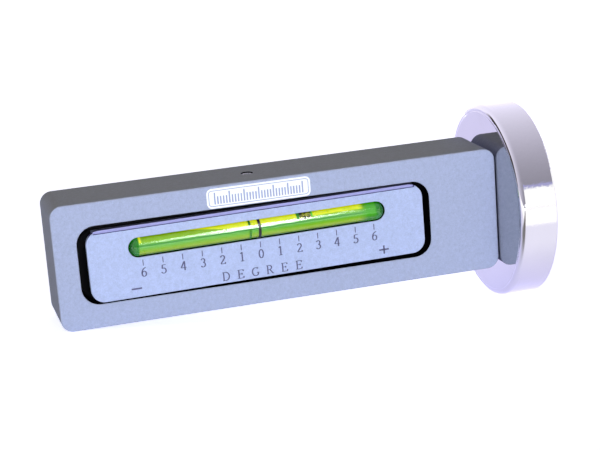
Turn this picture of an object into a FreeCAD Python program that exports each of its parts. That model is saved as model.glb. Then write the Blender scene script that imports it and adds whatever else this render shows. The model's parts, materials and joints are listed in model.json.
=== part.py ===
import FreeCAD, Part

import math
import os

import Sketcher

# Camber and caster gauge: a milled aluminium bar on a pot magnet.
# The magnet sits on the machined face of a wheel hub. A tilting insert in the bar's window carries
# a camber scale with its vial on the front and a caster scale with its vial on the rear.
#
# Frame, in millimetres: the origin is the centre of the magnet's working face, +X points out of
# that face into the hub, +Z is up, and -Y is the camber side. The bar reaches along -X.

SIZES = {
    # Bar
    "body_length": 150.0,
    "body_height": 41.5,
    "body_depth": 24.0,
    "body_corner_radius": 4.0,
    "body_edge_chamfer": 0.3,
    # What is left of the bar round its window, and how far the scales' zero stands right of the
    # window's middle
    "window_left_margin": 7.6,
    "window_right_margin": 23.8,
    "window_rail": 7.75,
    "window_corner_radius": 6.0,
    "zero_offset": 0.5,
    # Gaps of a seated piece and of a moving one
    "seat_clearance": 0.02,
    "running_clearance": 0.05,
    # Dowel in the window's floor that the insert rocks on
    "dowel_diameter": 4.0,
    "dowel_end_gap": 0.35,
    "dowel_chamfer": 0.4,
    # Insert: tilt as it stands in the photo, and the room under, over and beside it in the window
    "insert_tilt": 0.6,
    "insert_lift": 0.9,
    "insert_headroom": 1.5,
    "core_end_gap": 0.9,
    # Scale plates, and the slot for the vial: its ends and its centre line from the plate's edges
    "plate_end_gap": 2.65,
    "plate_thickness": 1.8,
    "plate_corner_radius": 4.5,
    "plate_edge_chamfer": 0.2,
    "plate_recess": 0.3,
    "tape_thickness": 0.15,
    "slot_end_margin": 13.35,
    "slot_height": 6.6,
    "slot_drop": 7.18,
    # Shallow step milled along the front of a scale plate's top edge
    "edge_step_margin": 2.6,
    "edge_step_height": 0.95,
    "edge_step_depth": 1.0,
    # Backing plates behind the scale plates
    "backing_end_step": 2.6,
    "backing_thickness": 2.4,
    "backing_step": 0.3,
    # Screws that clamp the backing plates to the core
    "clamp_screw_diameter": 2.5,
    "clamp_screw_length": 7.0,
    "clamp_head_diameter": 4.5,
    "clamp_head_height": 1.5,
    "clamp_head_clearance": 0.2,
    "clamp_key": 1.6,
    "clamp_edge_distance": 4.1,
    # Vials
    "vial_side_gap": 0.05,
    "vial_wall": 0.65,
    "vial_end_gap": 0.1,
    "vial_bulge": 1.6,
    # Bubbles: how far one degree moves them, and the reading in the photo
    "degree_spacing": 6.51,
    "shown_reading": 2.4,
    "bubble_length": 7.0,
    "bubble_width": 3.2,
    "bubble_height": 2.2,
    "bubble_film": 0.08,
    # Lock screw over the zero mark, and the pad that it presses on the insert
    "lock_diameter": 4.0,
    "lock_length": 5.5,
    "lock_recess": 0.35,
    "lock_key": 2.0,
    "lock_key_depth": 2.2,
    "lock_chamfer": 0.4,
    "pad_relief": 0.4,
    "pad_chamfer": 0.3,
    "pad_neck_diameter": 1.6,
    "pad_neck_length": 0.9,
    # Pot magnet
    "magnet_diameter": 66.0,
    "magnet_height": 13.0,
    "magnet_back_radius": 1.8,
    "magnet_front_radius": 0.8,
    "cup_wall": 4.0,
    "cup_floor": 4.5,
    "ferrite_bore": 24.0,
    "ferrite_recess": 0.3,
    "ferrite_chamfer": 0.5,
    "resin_width": 1.5,
    "resin_recess": 0.6,
    # Swivel between the magnet and the bar
    "shoulder_diameter": 8.0,
    "thread_diameter": 6.0,
    "thread_length": 12.0,
    "thread_chamfer": 0.8,
    "head_diameter": 13.0,
    "head_height": 3.0,
    "head_chamfer": 0.4,
    "head_key": 4.0,
    "head_key_depth": 2.0,
    "thread_bush_wall": 1.5,
    "thread_tip_room": 0.5,
    "thrust_washer_diameter": 22.0,
    "thrust_washer_thickness": 0.28,
    "plain_washer_diameter": 18.0,
    "plain_washer_thickness": 1.2,
    "spring_diameter": 15.0,
    "spring_thickness": 0.5,
    "spring_dish": 0.4,
    # Past-the-surface length of every cut
    "overrun": 1.0,
}

# Geometry that lies within this distance of a plane counts as on it.
ON_PLANE = 1e-4
QUARTER_TURN = 90
FRONT = -1
REAR = 1
SIDES = {"camber": FRONT, "caster": REAR}


class Size:
    """A size worked out from the sheet: the expression that drives it, and its value as drawn."""

    def __init__(self, text, value):
        self.text = text
        self.value = value

    def __add__(self, other):
        return Size(f"({self.text} + {other.text})", self.value + other.value)

    def __sub__(self, other):
        return Size(f"({self.text} - {other.text})", self.value - other.value)

    def __mul__(self, share):
        return Size(f"({self.text} * {share})", self.value * share)

    def __truediv__(self, share):
        return Size(f"({self.text} / {share})", self.value / share)

    def __neg__(self):
        return self * -1


class Sheet:
    """The driving dimensions, one aliased cell each; an attribute read gives that cell as a Size."""

    def __init__(self, document):
        self.cells = document.addObject("Spreadsheet::Sheet", "Sheet")
        for row, (alias, value) in enumerate(SIZES.items(), start=1):
            self.cells.set(f"A{row}", alias)
            self.cells.set(f"B{row}", str(value))
            self.cells.setAlias(f"B{row}", alias)

    def __getattr__(self, alias):
        return Size(f"Sheet.{alias}", SIZES[alias])


document = FreeCAD.newDocument("camber_caster_gauge")
sheet = Sheet(document)
document.recompute()

ZERO = Size("0", 0.0)
CENTRE = (ZERO, ZERO, ZERO)
finished_parts = []


# Sketches

def sketch_on(body, plane, name, shift=CENTRE):
    """A new sketch on one of the body's origin planes, shifted in its own axes."""
    sketch = body.newObject("Sketcher::SketchObject", name)
    origin_plane = next(f for f in body.Origin.OriginFeatures if f.Role == plane)
    sketch.AttachmentSupport = (origin_plane, "")
    sketch.MapMode = "FlatFace"
    for axis, distance in zip("xyz", shift):
        sketch.setExpression(f"AttachmentOffset.Base.{axis}", distance.text)
    return sketch


def constrain(sketch, kind, *arguments):
    """Adds one dimension whose last argument is a Size, and ties it to that Size's expression."""
    number = sketch.addConstraint(Sketcher.Constraint(kind, *arguments[:-1], arguments[-1].value))
    sketch.setExpression(f"Constraints[{number}]", arguments[-1].text)


def fix_point(sketch, geometry, point, x, y):
    """Places one point of a sketch, measured from the sketch's origin."""
    for kind, distance, axis in (("DistanceX", x, -2), ("DistanceY", y, -1)):
        if distance is ZERO:
            sketch.addConstraint(Sketcher.Constraint("PointOnObject", geometry, point, axis))
        else:
            constrain(sketch, kind, -1, 1, geometry, point, distance)


def polygon(sketch, corners):
    """A closed outline of straight lines through the corners."""
    first = sketch.GeometryCount
    count = len(corners)
    points = [FreeCAD.Vector(x.value, y.value, 0) for x, y in corners]
    for i in range(count):
        sketch.addGeometry(Part.LineSegment(points[i], points[(i + 1) % count]))
    for i in range(count):
        after = first + (i + 1) % count
        sketch.addConstraint(Sketcher.Constraint("Coincident", first + i, 2, after, 1))
    for i, (x, y) in enumerate(corners):
        fix_point(sketch, first + i, 1, x, y)


def rectangle(sketch, left, bottom, right, top):
    """A rectangle between two corners."""
    polygon(sketch, [(left, bottom), (right, bottom), (right, top), (left, top)])


def circle(sketch, x, y, diameter):
    """A circle about one point."""
    centre = FreeCAD.Vector(x.value, y.value, 0)
    number = sketch.addGeometry(Part.Circle(centre, FreeCAD.Vector(0, 0, 1), diameter.value / 2))
    fix_point(sketch, number, 3, x, y)
    constrain(sketch, "Diameter", number, diameter)


def slot(sketch, x, y, length, height):
    """A slot with round ends, centred on one point and lying along the sketch's x axis."""
    reach = (length - height) / 2
    radius = height / 2
    left, right, level = (x - reach).value, (x + reach).value, y.value
    up = FreeCAD.Vector(0, 0, 1)
    left_round = Part.Circle(FreeCAD.Vector(left, level, 0), up, radius.value)
    right_round = Part.Circle(FreeCAD.Vector(right, level, 0), up, radius.value)
    top, bottom = level + radius.value, level - radius.value
    quarter = math.pi / 2
    first = sketch.GeometryCount
    sketch.addGeometry(Part.ArcOfCircle(left_round, quarter, 3 * quarter))
    sketch.addGeometry(Part.ArcOfCircle(right_round, -quarter, quarter))
    sketch.addGeometry(Part.LineSegment(FreeCAD.Vector(left, bottom, 0), FreeCAD.Vector(right, bottom, 0)))
    sketch.addGeometry(Part.LineSegment(FreeCAD.Vector(right, top, 0), FreeCAD.Vector(left, top, 0)))
    left_arc, right_arc, low_line, high_line = range(first, first + 4)
    joins = ((left_arc, 2, low_line, 1), (low_line, 2, right_arc, 1), (right_arc, 2, high_line, 1),
             (high_line, 2, left_arc, 1))
    for join in joins:
        sketch.addConstraint(Sketcher.Constraint("Tangent", *join))
    sketch.addConstraint(Sketcher.Constraint("Horizontal", low_line))
    sketch.addConstraint(Sketcher.Constraint("Horizontal", high_line))
    fix_point(sketch, left_arc, 3, x - reach, y)
    constrain(sketch, "DistanceX", -1, 1, right_arc, 3, x + reach)
    constrain(sketch, "Radius", left_arc, radius)


def hexagon(sketch, across_flats):
    """A hexagon about the sketch's origin, given across its flats."""
    corner_radius = across_flats / math.sqrt(3)
    half = across_flats / 2
    polygon(sketch, [(corner_radius, ZERO), (corner_radius / 2, half), (-corner_radius / 2, half),
                     (-corner_radius, ZERO), (-corner_radius / 2, -half), (corner_radius / 2, -half)])


# Features

def new_body(label):
    """An empty body with its own label."""
    body = document.addObject("PartDesign::Body", label)
    body.Label = label
    return body


def pad(body, sketch, length, symmetric=False):
    """Raises a sketch into a solid, one way or evenly to both sides."""
    feature = body.newObject("PartDesign::Pad", "Pad")
    feature.Profile = sketch
    feature.SideType = "Symmetric" if symmetric else "One side"
    feature.setExpression("Length", length.text)
    document.recompute()
    return feature


def cut(body, feature_type, sketch, name, settings):
    """Adds a Pocket or Groove and makes sure that it removed material."""
    before = body.Shape.Volume
    feature = body.newObject(feature_type, name)
    feature.Profile = sketch
    for setting, value in settings.items():
        if isinstance(value, Size):
            feature.setExpression(setting, value.text)
        else:
            setattr(feature, setting, value)
    document.recompute()
    if not body.Shape.Volume < before:
        raise RuntimeError(f"{body.Label}: {name} removed nothing")
    return feature


def pocket_through(body, sketch):
    """Cuts a sketch right through the body, to both sides of its plane."""
    settings = {"Type": "ThroughAll", "SideType": "Symmetric"}
    return cut(body, "PartDesign::Pocket", sketch, "ThroughPocket", settings)


def pocket_both_ways(body, sketch, length):
    """Cuts a sketch evenly to both sides of its plane."""
    settings = {"SideType": "Symmetric", "Length": length}
    return cut(body, "PartDesign::Pocket", sketch, "MiddlePocket", settings)


def pocket(body, sketch, depth, along_normal=False):
    """Cuts a sketch one way, against the plane's normal or along it."""
    settings = {"Length": depth, "Reversed": along_normal}
    return cut(body, "PartDesign::Pocket", sketch, "Pocket", settings)


def groove(body, sketch, axis_name):
    """Cuts a sketch turned round one of its own axes."""
    settings = {"ReferenceAxis": (sketch, [axis_name])}
    return cut(body, "PartDesign::Groove", sketch, "Groove", settings)


def dress(body, kind, base, names, setting, amount):
    """Rounds or bevels the named edges or faces of a feature."""
    feature = body.newObject(kind, kind.split("::")[1])
    feature.Base = (base, names)
    feature.setExpression(setting, amount.text)
    document.recompute()
    return feature


def fillet(body, base, names, radius):
    """Rounds named edges."""
    return dress(body, "PartDesign::Fillet", base, names, "Radius", radius)


def chamfer(body, base, names, width):
    """Bevels named edges, or all edges of named faces."""
    return dress(body, "PartDesign::Chamfer", base, names, "Size", width)


def edges_along_y(feature):
    """Names of the straight edges that run along Y."""
    names = []
    for number, edge in enumerate(feature.Shape.Edges, start=1):
        first, last = edge.Vertexes[0].Point, edge.Vertexes[-1].Point
        if math.hypot(last.x - first.x, last.z - first.z) < ON_PLANE < abs(last.y - first.y):
            names.append(f"Edge{number}")
    return names


def edges_across_window(feature, left, right, top):
    """Names of the window's four corner edges."""
    names = []
    for name in edges_along_y(feature):
        point = feature.Shape.getElement(name).Vertexes[0].Point
        at_side = min(abs(point.x - left.value), abs(point.x - right.value)) < ON_PLANE
        if at_side and abs(abs(point.z) - top.value) < ON_PLANE:
            names.append(name)
    return names


def faces_at(feature, axis, place):
    """Names of the flat faces that lie at one place along an axis."""
    names = []
    for number, face in enumerate(feature.Shape.Faces, start=1):
        if all(abs(getattr(vertex.Point, axis) - place.value) < ON_PLANE for vertex in face.Vertexes):
            names.append(f"Face{number}")
    return names


def rim_edges(feature, axis, place, radius):
    """Names of the full circles of one radius at one place along an axis."""
    names = []
    for number, edge in enumerate(feature.Shape.Edges, start=1):
        if edge.Curve.TypeId != "Part::GeomCircle" or abs(edge.Curve.Radius - radius.value) > ON_PLANE:
            continue
        if abs(getattr(edge.Curve.Center, axis) - place.value) < ON_PLANE:
            names.append(f"Edge{number}")
    return names


# Each way of turning an outline of (along, radius) corners: the plane, the axis, and which
# coordinate runs along the axis.
TURNING = {"X": ("XY_Plane", "H_Axis", 0), "Y": ("XY_Plane", "V_Axis", 1), "Z": ("XZ_Plane", "V_Axis", 1)}


def turned_outline(body, direction, corners, shift):
    """A sketch of (along, radius) corners, ready to be turned round X, Y or Z."""
    plane, _, along = TURNING[direction]
    sketch = sketch_on(body, plane, "TurnedOutline", shift)
    polygon(sketch, corners if along == 0 else [(radius, place) for place, radius in corners])
    return sketch


def turned(body, direction, corners, shift=CENTRE):
    """A solid of revolution, from (along, radius) corners round an axis along X, Y or Z."""
    sketch = turned_outline(body, direction, corners, shift)
    feature = body.newObject("PartDesign::Revolution", "Revolution")
    feature.Profile = sketch
    feature.ReferenceAxis = (sketch, [TURNING[direction][1]])
    document.recompute()
    return feature


def turned_cut(body, direction, corners, shift=CENTRE):
    """Cuts a shape of revolution, given as for turned."""
    sketch = turned_outline(body, direction, corners, shift)
    return groove(body, sketch, TURNING[direction][1])


def place(part, x, y, z):
    """Places a part in the gauge's frame."""
    for axis, distance in zip("xyz", (x, y, z)):
        part.setExpression(f"Placement.Base.{axis}", distance.text)


def finish(part):
    """Counts a part as finished."""
    finished_parts.append(part)
    return part


# Sizes and places that follow from the sheet

magnet_radius = sheet.magnet_diameter / 2
swivel_gap = sheet.thrust_washer_thickness + sheet.seat_clearance
body_end = -(sheet.magnet_height + swivel_gap)
half_depth = sheet.body_depth / 2
half_height = sheet.body_height / 2
window_left = sheet.window_left_margin - sheet.body_length
window_right = -sheet.window_right_margin
window_top = half_height - sheet.window_rail
zero_in_body = (window_left + window_right) / 2 + sheet.zero_offset
zero_place = body_end + zero_in_body

# Lengths in the insert, each from the piece that it is let into
plate_length = window_right - window_left - sheet.plate_end_gap * 2
slot_length = plate_length - sheet.slot_end_margin * 2
backing_length = plate_length - sheet.backing_end_step * 2
clamp_reach = (slot_length + backing_length) / 4

# Depths in the insert, measured outwards from the bar's mid-plane
plate_face = half_depth - sheet.plate_recess
plate_back = plate_face - sheet.plate_thickness
tape_back = plate_back - sheet.tape_thickness
backing_back = tape_back - sheet.backing_thickness
vial_radius = sheet.slot_height / 2 - sheet.vial_side_gap
vial_depth = plate_face + sheet.vial_bulge - vial_radius
dowel_length = (backing_back - sheet.dowel_end_gap) * 2

# Heights in the insert, measured from the rocking axis in the window's floor
plate_bottom = sheet.insert_lift
plate_top = window_top * 2 - sheet.insert_headroom
backing_bottom = plate_bottom + sheet.backing_step
backing_top = plate_top - sheet.backing_step
vial_level = plate_top - sheet.slot_drop

tube_reach = slot_length / 2 - sheet.vial_end_gap - vial_radius
bore_radius = vial_radius - sheet.vial_wall
liquid_radius = bore_radius - sheet.seat_clearance

# Threaded bush in the bar's end
bush_radius = sheet.thread_diameter / 2 + sheet.thread_bush_wall
bush_length = sheet.thread_length + sheet.thread_tip_room


def place_on_insert(part):
    """Places a part that is drawn about the rocking axis, tilted as the insert is."""
    tilted = FreeCAD.Rotation(FreeCAD.Vector(0, -1, 0), sheet.insert_tilt.value)
    part.Placement = FreeCAD.Placement(FreeCAD.Vector(), tilted)
    place(part, zero_place, ZERO, -window_top)
    part.setExpression("Placement.Rotation.Angle", sheet.insert_tilt.text)


# Bar, with its window, dowel seat, lock screw hole and thread bush bore

def make_body_bar():
    body = new_body("body_bar")
    outline = sketch_on(body, "XZ_Plane", "BarOutline")
    rectangle(outline, -sheet.body_length, -half_height, ZERO, half_height)
    bar = pad(body, outline, sheet.body_depth, symmetric=True)
    rounded = fillet(body, bar, edges_along_y(bar), sheet.body_corner_radius)

    opening = sketch_on(body, "XZ_Plane", "WindowOutline")
    rectangle(opening, window_left, -window_top, window_right, window_top)
    window = pocket_through(body, opening)
    corners = edges_across_window(window, window_left, window_right, window_top)
    rounded = fillet(body, window, corners, sheet.window_corner_radius)
    faces = faces_at(rounded, "y", half_depth) + faces_at(rounded, "y", -half_depth)
    chamfer(body, rounded, faces, sheet.body_edge_chamfer)

    seat = sketch_on(body, "XZ_Plane", "DowelSeat")
    circle(seat, zero_in_body, -window_top, sheet.dowel_diameter + sheet.seat_clearance * 2)
    pocket_both_ways(body, seat, dowel_length + sheet.seat_clearance * 2)

    lock_hole = sketch_on(body, "XY_Plane", "LockHole", (ZERO, ZERO, half_height))
    circle(lock_hole, zero_in_body, ZERO, sheet.lock_diameter + sheet.running_clearance * 2)
    pocket(body, lock_hole, half_height - window_top + sheet.overrun)

    bush_hole = sketch_on(body, "YZ_Plane", "BushHole")
    circle(bush_hole, ZERO, ZERO, bush_radius * 2)
    pocket(body, bush_hole, bush_length)
    place(body, body_end, ZERO, ZERO)
    return finish(body)


def make_dowel():
    body = new_body("rocker_dowel")
    half = dowel_length / 2
    radius = sheet.dowel_diameter / 2
    bevel = sheet.dowel_chamfer
    turned(body, "Y", [(-half, ZERO), (-half, radius - bevel), (-half + bevel, radius),
                       (half - bevel, radius), (half, radius - bevel), (half, ZERO)])
    place(body, zero_place, ZERO, -window_top)
    return finish(body)


# Swivel: the shoulder screw and its washers, from the bar's end to the magnet's inside

cup_inside = sheet.cup_floor - sheet.magnet_height
washer_front = cup_inside + sheet.plain_washer_thickness
spring_height = sheet.spring_thickness + sheet.spring_dish
head_under = washer_front + spring_height + sheet.seat_clearance * 2
head_face = head_under + sheet.head_height


def make_thread_bush():
    body = new_body("thread_bush")
    inner = sheet.thread_diameter / 2
    bevel = sheet.thread_chamfer
    turned(body, "X", [(-bush_length, inner), (-bush_length, bush_radius), (ZERO, bush_radius),
                       (ZERO, inner + bevel), (-bevel, inner)])
    place(body, body_end, ZERO, ZERO)
    return finish(body)


def make_shoulder_screw():
    body = new_body("swivel_screw")
    thread = sheet.thread_diameter / 2
    shoulder = sheet.shoulder_diameter / 2
    head = sheet.head_diameter / 2
    bevel = sheet.thread_chamfer
    head_bevel = sheet.head_chamfer
    tip = body_end - sheet.thread_length
    turned(body, "X", [(tip, ZERO), (tip, thread - bevel), (tip + bevel, thread), (body_end, thread),
                       (body_end, shoulder), (head_under, shoulder), (head_under, head),
                       (head_face - head_bevel, head), (head_face, head - head_bevel), (head_face, ZERO)])
    socket = sketch_on(body, "YZ_Plane", "KeySocket", (ZERO, ZERO, head_face))
    hexagon(socket, sheet.head_key)
    pocket(body, socket, sheet.head_key_depth)
    return finish(body)


def make_ring(label, back, front, outer_radius, bore):
    """A flat ring about the swivel axis."""
    body = new_body(label)
    turned(body, "X", [(back, bore), (back, outer_radius), (front, outer_radius), (front, bore)])
    return finish(body)


def make_disc_spring():
    body = new_body("disc_spring")
    outer = sheet.spring_diameter / 2
    inner = sheet.shoulder_diameter / 2 + sheet.running_clearance
    back = washer_front + sheet.seat_clearance
    turned(body, "X", [(back, outer), (back + sheet.spring_thickness, outer), (back + spring_height, inner),
                       (back + sheet.spring_dish, inner)])
    return finish(body)


def make_swivel():
    bore = sheet.shoulder_diameter / 2 + sheet.running_clearance
    make_thread_bush()
    make_shoulder_screw()
    make_ring("thrust_washer", body_end, -(sheet.magnet_height + sheet.seat_clearance),
              sheet.thrust_washer_diameter / 2, bore)
    make_disc_spring()


# Pot magnet: steel cup, ferrite ring, resin between them, and the washer in its middle

def make_magnet():
    wall_radius = magnet_radius - sheet.cup_wall
    bore = sheet.shoulder_diameter / 2 + sheet.running_clearance
    back = -sheet.magnet_height

    cup = new_body("magnet_cup")
    shell = turned(cup, "X", [(back, bore), (back, magnet_radius), (ZERO, magnet_radius),
                              (ZERO, wall_radius), (cup_inside, wall_radius), (cup_inside, bore)])
    rounded = fillet(cup, shell, rim_edges(shell, "x", back, magnet_radius), sheet.magnet_back_radius)
    fillet(cup, rounded, rim_edges(rounded, "x", ZERO, magnet_radius), sheet.magnet_front_radius)
    finish(cup)

    ferrite = new_body("ferrite_ring")
    outer = wall_radius - sheet.resin_width
    hole = sheet.ferrite_bore / 2
    front = -sheet.ferrite_recess
    bevel = sheet.ferrite_chamfer
    turned(ferrite, "X", [(cup_inside, hole), (cup_inside, outer), (front - bevel, outer),
                          (front, outer - bevel), (front, hole + bevel), (front - bevel, hole)])
    finish(ferrite)

    make_ring("resin_ring", cup_inside, -sheet.resin_recess, wall_radius, outer)
    make_ring("plain_washer", cup_inside, washer_front, sheet.plain_washer_diameter / 2, bore)


# Insert: core, backing plates with their screws, tapes, scale plates and vials

def clamp_places():
    """The four places of a backing plate's screws."""
    levels = (backing_bottom + sheet.clamp_edge_distance, backing_top - sheet.clamp_edge_distance)
    return [(reach, level) for reach in (-clamp_reach, clamp_reach) for level in levels]


def slab_start(side, face, back):
    """The shift of a sketch whose solid grows towards -Y and fills a slab of one side's depths."""
    return (ZERO, ZERO, back if side == FRONT else -face)


def make_core():
    body = new_body("insert_core")
    left = window_left + sheet.core_end_gap - zero_in_body
    right = window_right - sheet.core_end_gap - zero_in_body
    outline = sketch_on(body, "XZ_Plane", "CoreOutline")
    rectangle(outline, left, backing_bottom, right, backing_top)
    core = pad(body, outline, backing_back * 2, symmetric=True)
    fillet(body, core, edges_along_y(core), sheet.window_corner_radius - sheet.core_end_gap)

    seat = sketch_on(body, "XZ_Plane", "DowelGroove")
    circle(seat, ZERO, ZERO, sheet.dowel_diameter + sheet.running_clearance * 2)
    pocket_both_ways(body, seat, dowel_length + sheet.running_clearance * 2)

    holes = sketch_on(body, "XZ_Plane", "ClampHoles")
    for x, z in clamp_places():
        circle(holes, x, z, sheet.clamp_screw_diameter)
    pocket_through(body, holes)

    groove_radius = sheet.slot_height / 2
    reach = slot_length / 2
    for side in SIDES.values():
        outline = [(-reach, ZERO), (-reach, groove_radius), (reach, groove_radius), (reach, ZERO)]
        turned_cut(body, "X", outline, (ZERO, vial_depth * side, vial_level))
    place_on_insert(body)
    return finish(body)


def make_backing(name, side):
    """The plate that a scale plate is bonded to."""
    body = new_body(f"{name}_backing")
    half = backing_length / 2
    outline = sketch_on(body, "XZ_Plane", "BackingOutline", slab_start(side, tape_back, backing_back))
    rectangle(outline, -half, backing_bottom, half, backing_top)
    slot(outline, ZERO, vial_level, slot_length, sheet.slot_height)
    for x, z in clamp_places():
        circle(outline, x, z, sheet.clamp_screw_diameter)
    pad(body, outline, sheet.backing_thickness)

    seats_start = slab_start(side, tape_back, tape_back - sheet.clamp_head_height)
    seats = sketch_on(body, "XZ_Plane", "HeadSeats", seats_start)
    for x, z in clamp_places():
        circle(seats, x, z, sheet.clamp_head_diameter + sheet.clamp_head_clearance)
    pocket(body, seats, sheet.clamp_head_height, along_normal=True)
    place_on_insert(body)
    return finish(body)


def make_tape(name, side):
    """The bonding tape between a backing plate and its scale plate."""
    body = new_body(f"{name}_tape")
    half = backing_length / 2
    outline = sketch_on(body, "XZ_Plane", "TapeOutline", slab_start(side, plate_back, tape_back))
    rectangle(outline, -half, backing_bottom, half, backing_top)
    slot(outline, ZERO, vial_level, slot_length, sheet.slot_height)
    pad(body, outline, sheet.tape_thickness)
    place_on_insert(body)
    return finish(body)


def make_scale_plate(name, side):
    """The plate that carries the printed scale, with the vial's slot and the step in its top edge."""
    body = new_body(f"{name}_scale_plate")
    half = plate_length / 2
    outline = sketch_on(body, "XZ_Plane", "PlateOutline", slab_start(side, plate_face, plate_back))
    rectangle(outline, -half, plate_bottom, half, plate_top)
    plate = pad(body, outline, sheet.plate_thickness)
    rounded = fillet(body, plate, edges_along_y(plate), sheet.plate_corner_radius)
    opening = sketch_on(body, "XZ_Plane", "SlotOutline")
    slot(opening, ZERO, vial_level, slot_length, sheet.slot_height)
    rounded = pocket_through(body, opening)
    chamfer(body, rounded, faces_at(rounded, "y", plate_face * side), sheet.plate_edge_chamfer)

    step_start = slab_start(side, plate_face, plate_face - sheet.edge_step_depth)
    step = sketch_on(body, "XZ_Plane", "EdgeStep", step_start)
    reach = half - sheet.edge_step_margin
    rectangle(step, -reach, plate_top - sheet.edge_step_height, reach, plate_top + sheet.overrun)
    pocket(body, step, sheet.edge_step_depth, along_normal=True)
    place_on_insert(body)
    return finish(body)


def primitive(kind, name, sizes, x=ZERO, y=ZERO, z=ZERO, turn=None):
    """A primitive solid with its sizes and place tied to the sheet, turned as (axis, degrees)."""
    shape = document.addObject(f"Part::{kind}", name)
    if turn:
        axis, angle = turn
        shape.Placement = FreeCAD.Placement(FreeCAD.Vector(), FreeCAD.Rotation(axis, angle))
    for setting, value in sizes.items():
        if isinstance(value, Size):
            shape.setExpression(setting, value.text)
        else:
            setattr(shape, setting, value)
    place(shape, x, y, z)
    return shape


def boolean(kind, name, base, tool):
    """One solid cut by, or joined to, another."""
    result = document.addObject(f"Part::{kind}", name)
    result.Base = base
    result.Tool = tool
    return result


# Turns that lay a primitive's own Z axis along +X, along -X, or out of one side of the gauge
ALONG_X = (FreeCAD.Vector(0, 1, 0), QUARTER_TURN)
AGAINST_X = (FreeCAD.Vector(0, 1, 0), -QUARTER_TURN)
TOWARDS = {FRONT: (FreeCAD.Vector(1, 0, 0), QUARTER_TURN), REAR: (FreeCAD.Vector(1, 0, 0), -QUARTER_TURN)}


def make_clamp_screw(name, side, number, x, z):
    """A socket screw with its head flush in the backing plate."""
    head_back = (tape_back - sheet.clamp_head_height) * side
    tip = (tape_back - sheet.clamp_screw_length) * side
    shank = primitive("Cylinder", f"{name}_shank_{number}",
                      {"Radius": sheet.clamp_screw_diameter / 2, "Height": sheet.clamp_screw_length},
                      x, tip, z, TOWARDS[side])
    head = primitive("Cylinder", f"{name}_head_{number}",
                     {"Radius": sheet.clamp_head_diameter / 2, "Height": sheet.clamp_head_height},
                     x, head_back, z, TOWARDS[side])
    socket_bottom = (tape_back - sheet.clamp_head_height / 2) * side
    socket = primitive("Prism", f"{name}_socket_{number}",
                       {"Polygon": 6, "Circumradius": sheet.clamp_key / math.sqrt(3),
                        "Height": sheet.clamp_head_height}, x, socket_bottom, z, TOWARDS[side])
    solid = boolean("Fuse", f"{name}_solid_{number}", shank, head)
    return boolean("Cut", f"{name}_screw_{number}", solid, socket)


def make_clamp_screws(name, side):
    """The four like screws of one backing plate, as one group of separate solids."""
    group = document.addObject("Part::Compound", f"{name}_clamp_screws")
    group.Label = f"{name}_clamp_screws"
    group.Links = [make_clamp_screw(name, side, number, x, z)
                   for number, (x, z) in enumerate(clamp_places())]
    place_on_insert(group)
    return finish(group)


def make_vial(name, side):
    """A vial's tube, its two domed ends and the liquid, which leaves room for the bubble."""
    y = vial_depth * side
    tube = new_body(f"{name}_vial_tube")
    turned(tube, "X", [(-tube_reach, bore_radius), (-tube_reach, vial_radius), (tube_reach, vial_radius),
                       (tube_reach, bore_radius)], (ZERO, y, vial_level))
    place_on_insert(tube)
    finish(tube)

    for end, reach, turn in (("left", -tube_reach, AGAINST_X), ("right", tube_reach, ALONG_X)):
        dome = primitive("Sphere", f"{name}_dome_{end}", {"Radius": vial_radius, "Angle1": 0},
                         reach, y, vial_level, turn)
        hollow = primitive("Sphere", f"{name}_hollow_{end}", {"Radius": bore_radius}, reach, y, vial_level)
        cap = boolean("Cut", f"{name}_vial_end_{end}", dome, hollow)
        place_on_insert(cap)
        finish(cap)

    column = primitive("Cylinder", f"{name}_column", {"Radius": liquid_radius, "Height": tube_reach * 2},
                       -tube_reach, y, vial_level, ALONG_X)
    left = primitive("Sphere", f"{name}_fill_left", {"Radius": liquid_radius}, -tube_reach, y, vial_level)
    right = primitive("Sphere", f"{name}_fill_right", {"Radius": liquid_radius}, tube_reach, y, vial_level)
    filling = document.addObject("Part::MultiFuse", f"{name}_filling")
    filling.Shapes = [column, left, right]
    room = bubble_solid(f"{name}_bubble_room", side, sheet.bubble_film)
    liquid = boolean("Cut", f"{name}_liquid", filling, room)
    place_on_insert(liquid)
    finish(liquid)


def bubble_solid(name, side, film):
    """An egg shape as large as the bubble and a film around it, under the top of the vial's bore."""
    level = vial_level + bore_radius - sheet.bubble_film * 2 - sheet.bubble_height / 2
    return primitive("Ellipsoid", name,
                     {"Radius1": sheet.bubble_height / 2 + film, "Radius2": sheet.bubble_length / 2 + film,
                      "Radius3": sheet.bubble_width / 2 + film},
                     sheet.degree_spacing * SIZES["shown_reading"], vial_depth * side, level)


def make_bubble(name, side):
    """The air bubble of one vial."""
    inner = bubble_solid(f"{name}_bubble_shape", side, ZERO)
    group = document.addObject("Part::Compound", f"{name}_bubble")
    group.Label = f"{name}_bubble"
    group.Links = [inner]
    place_on_insert(group)
    return finish(group)


def make_insert():
    make_core()
    for name, side in SIDES.items():
        make_backing(name, side)
        make_clamp_screws(name, side)
        make_tape(name, side)
        make_scale_plate(name, side)
        make_vial(name, side)
        make_bubble(name, side)


# Lock screw and its pad, over the zero mark

lock_top = half_height - sheet.lock_recess
lock_tip = lock_top - sheet.lock_length
pad_face = backing_top - window_top + sheet.running_clearance
neck_room = sheet.pad_neck_length + sheet.seat_clearance


def make_lock_pad():
    body = new_body("lock_pad")
    radius = sheet.lock_diameter / 2 - sheet.pad_relief
    neck = sheet.pad_neck_diameter / 2
    shoulder = lock_tip - sheet.seat_clearance
    bevel = sheet.pad_chamfer
    neck_top = shoulder + sheet.pad_neck_length
    turned(body, "Z", [(pad_face, ZERO), (pad_face, radius - bevel), (pad_face + bevel, radius),
                       (shoulder, radius), (shoulder, neck), (neck_top, neck), (neck_top, ZERO)])
    place(body, zero_place, ZERO, ZERO)
    return finish(body)


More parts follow.
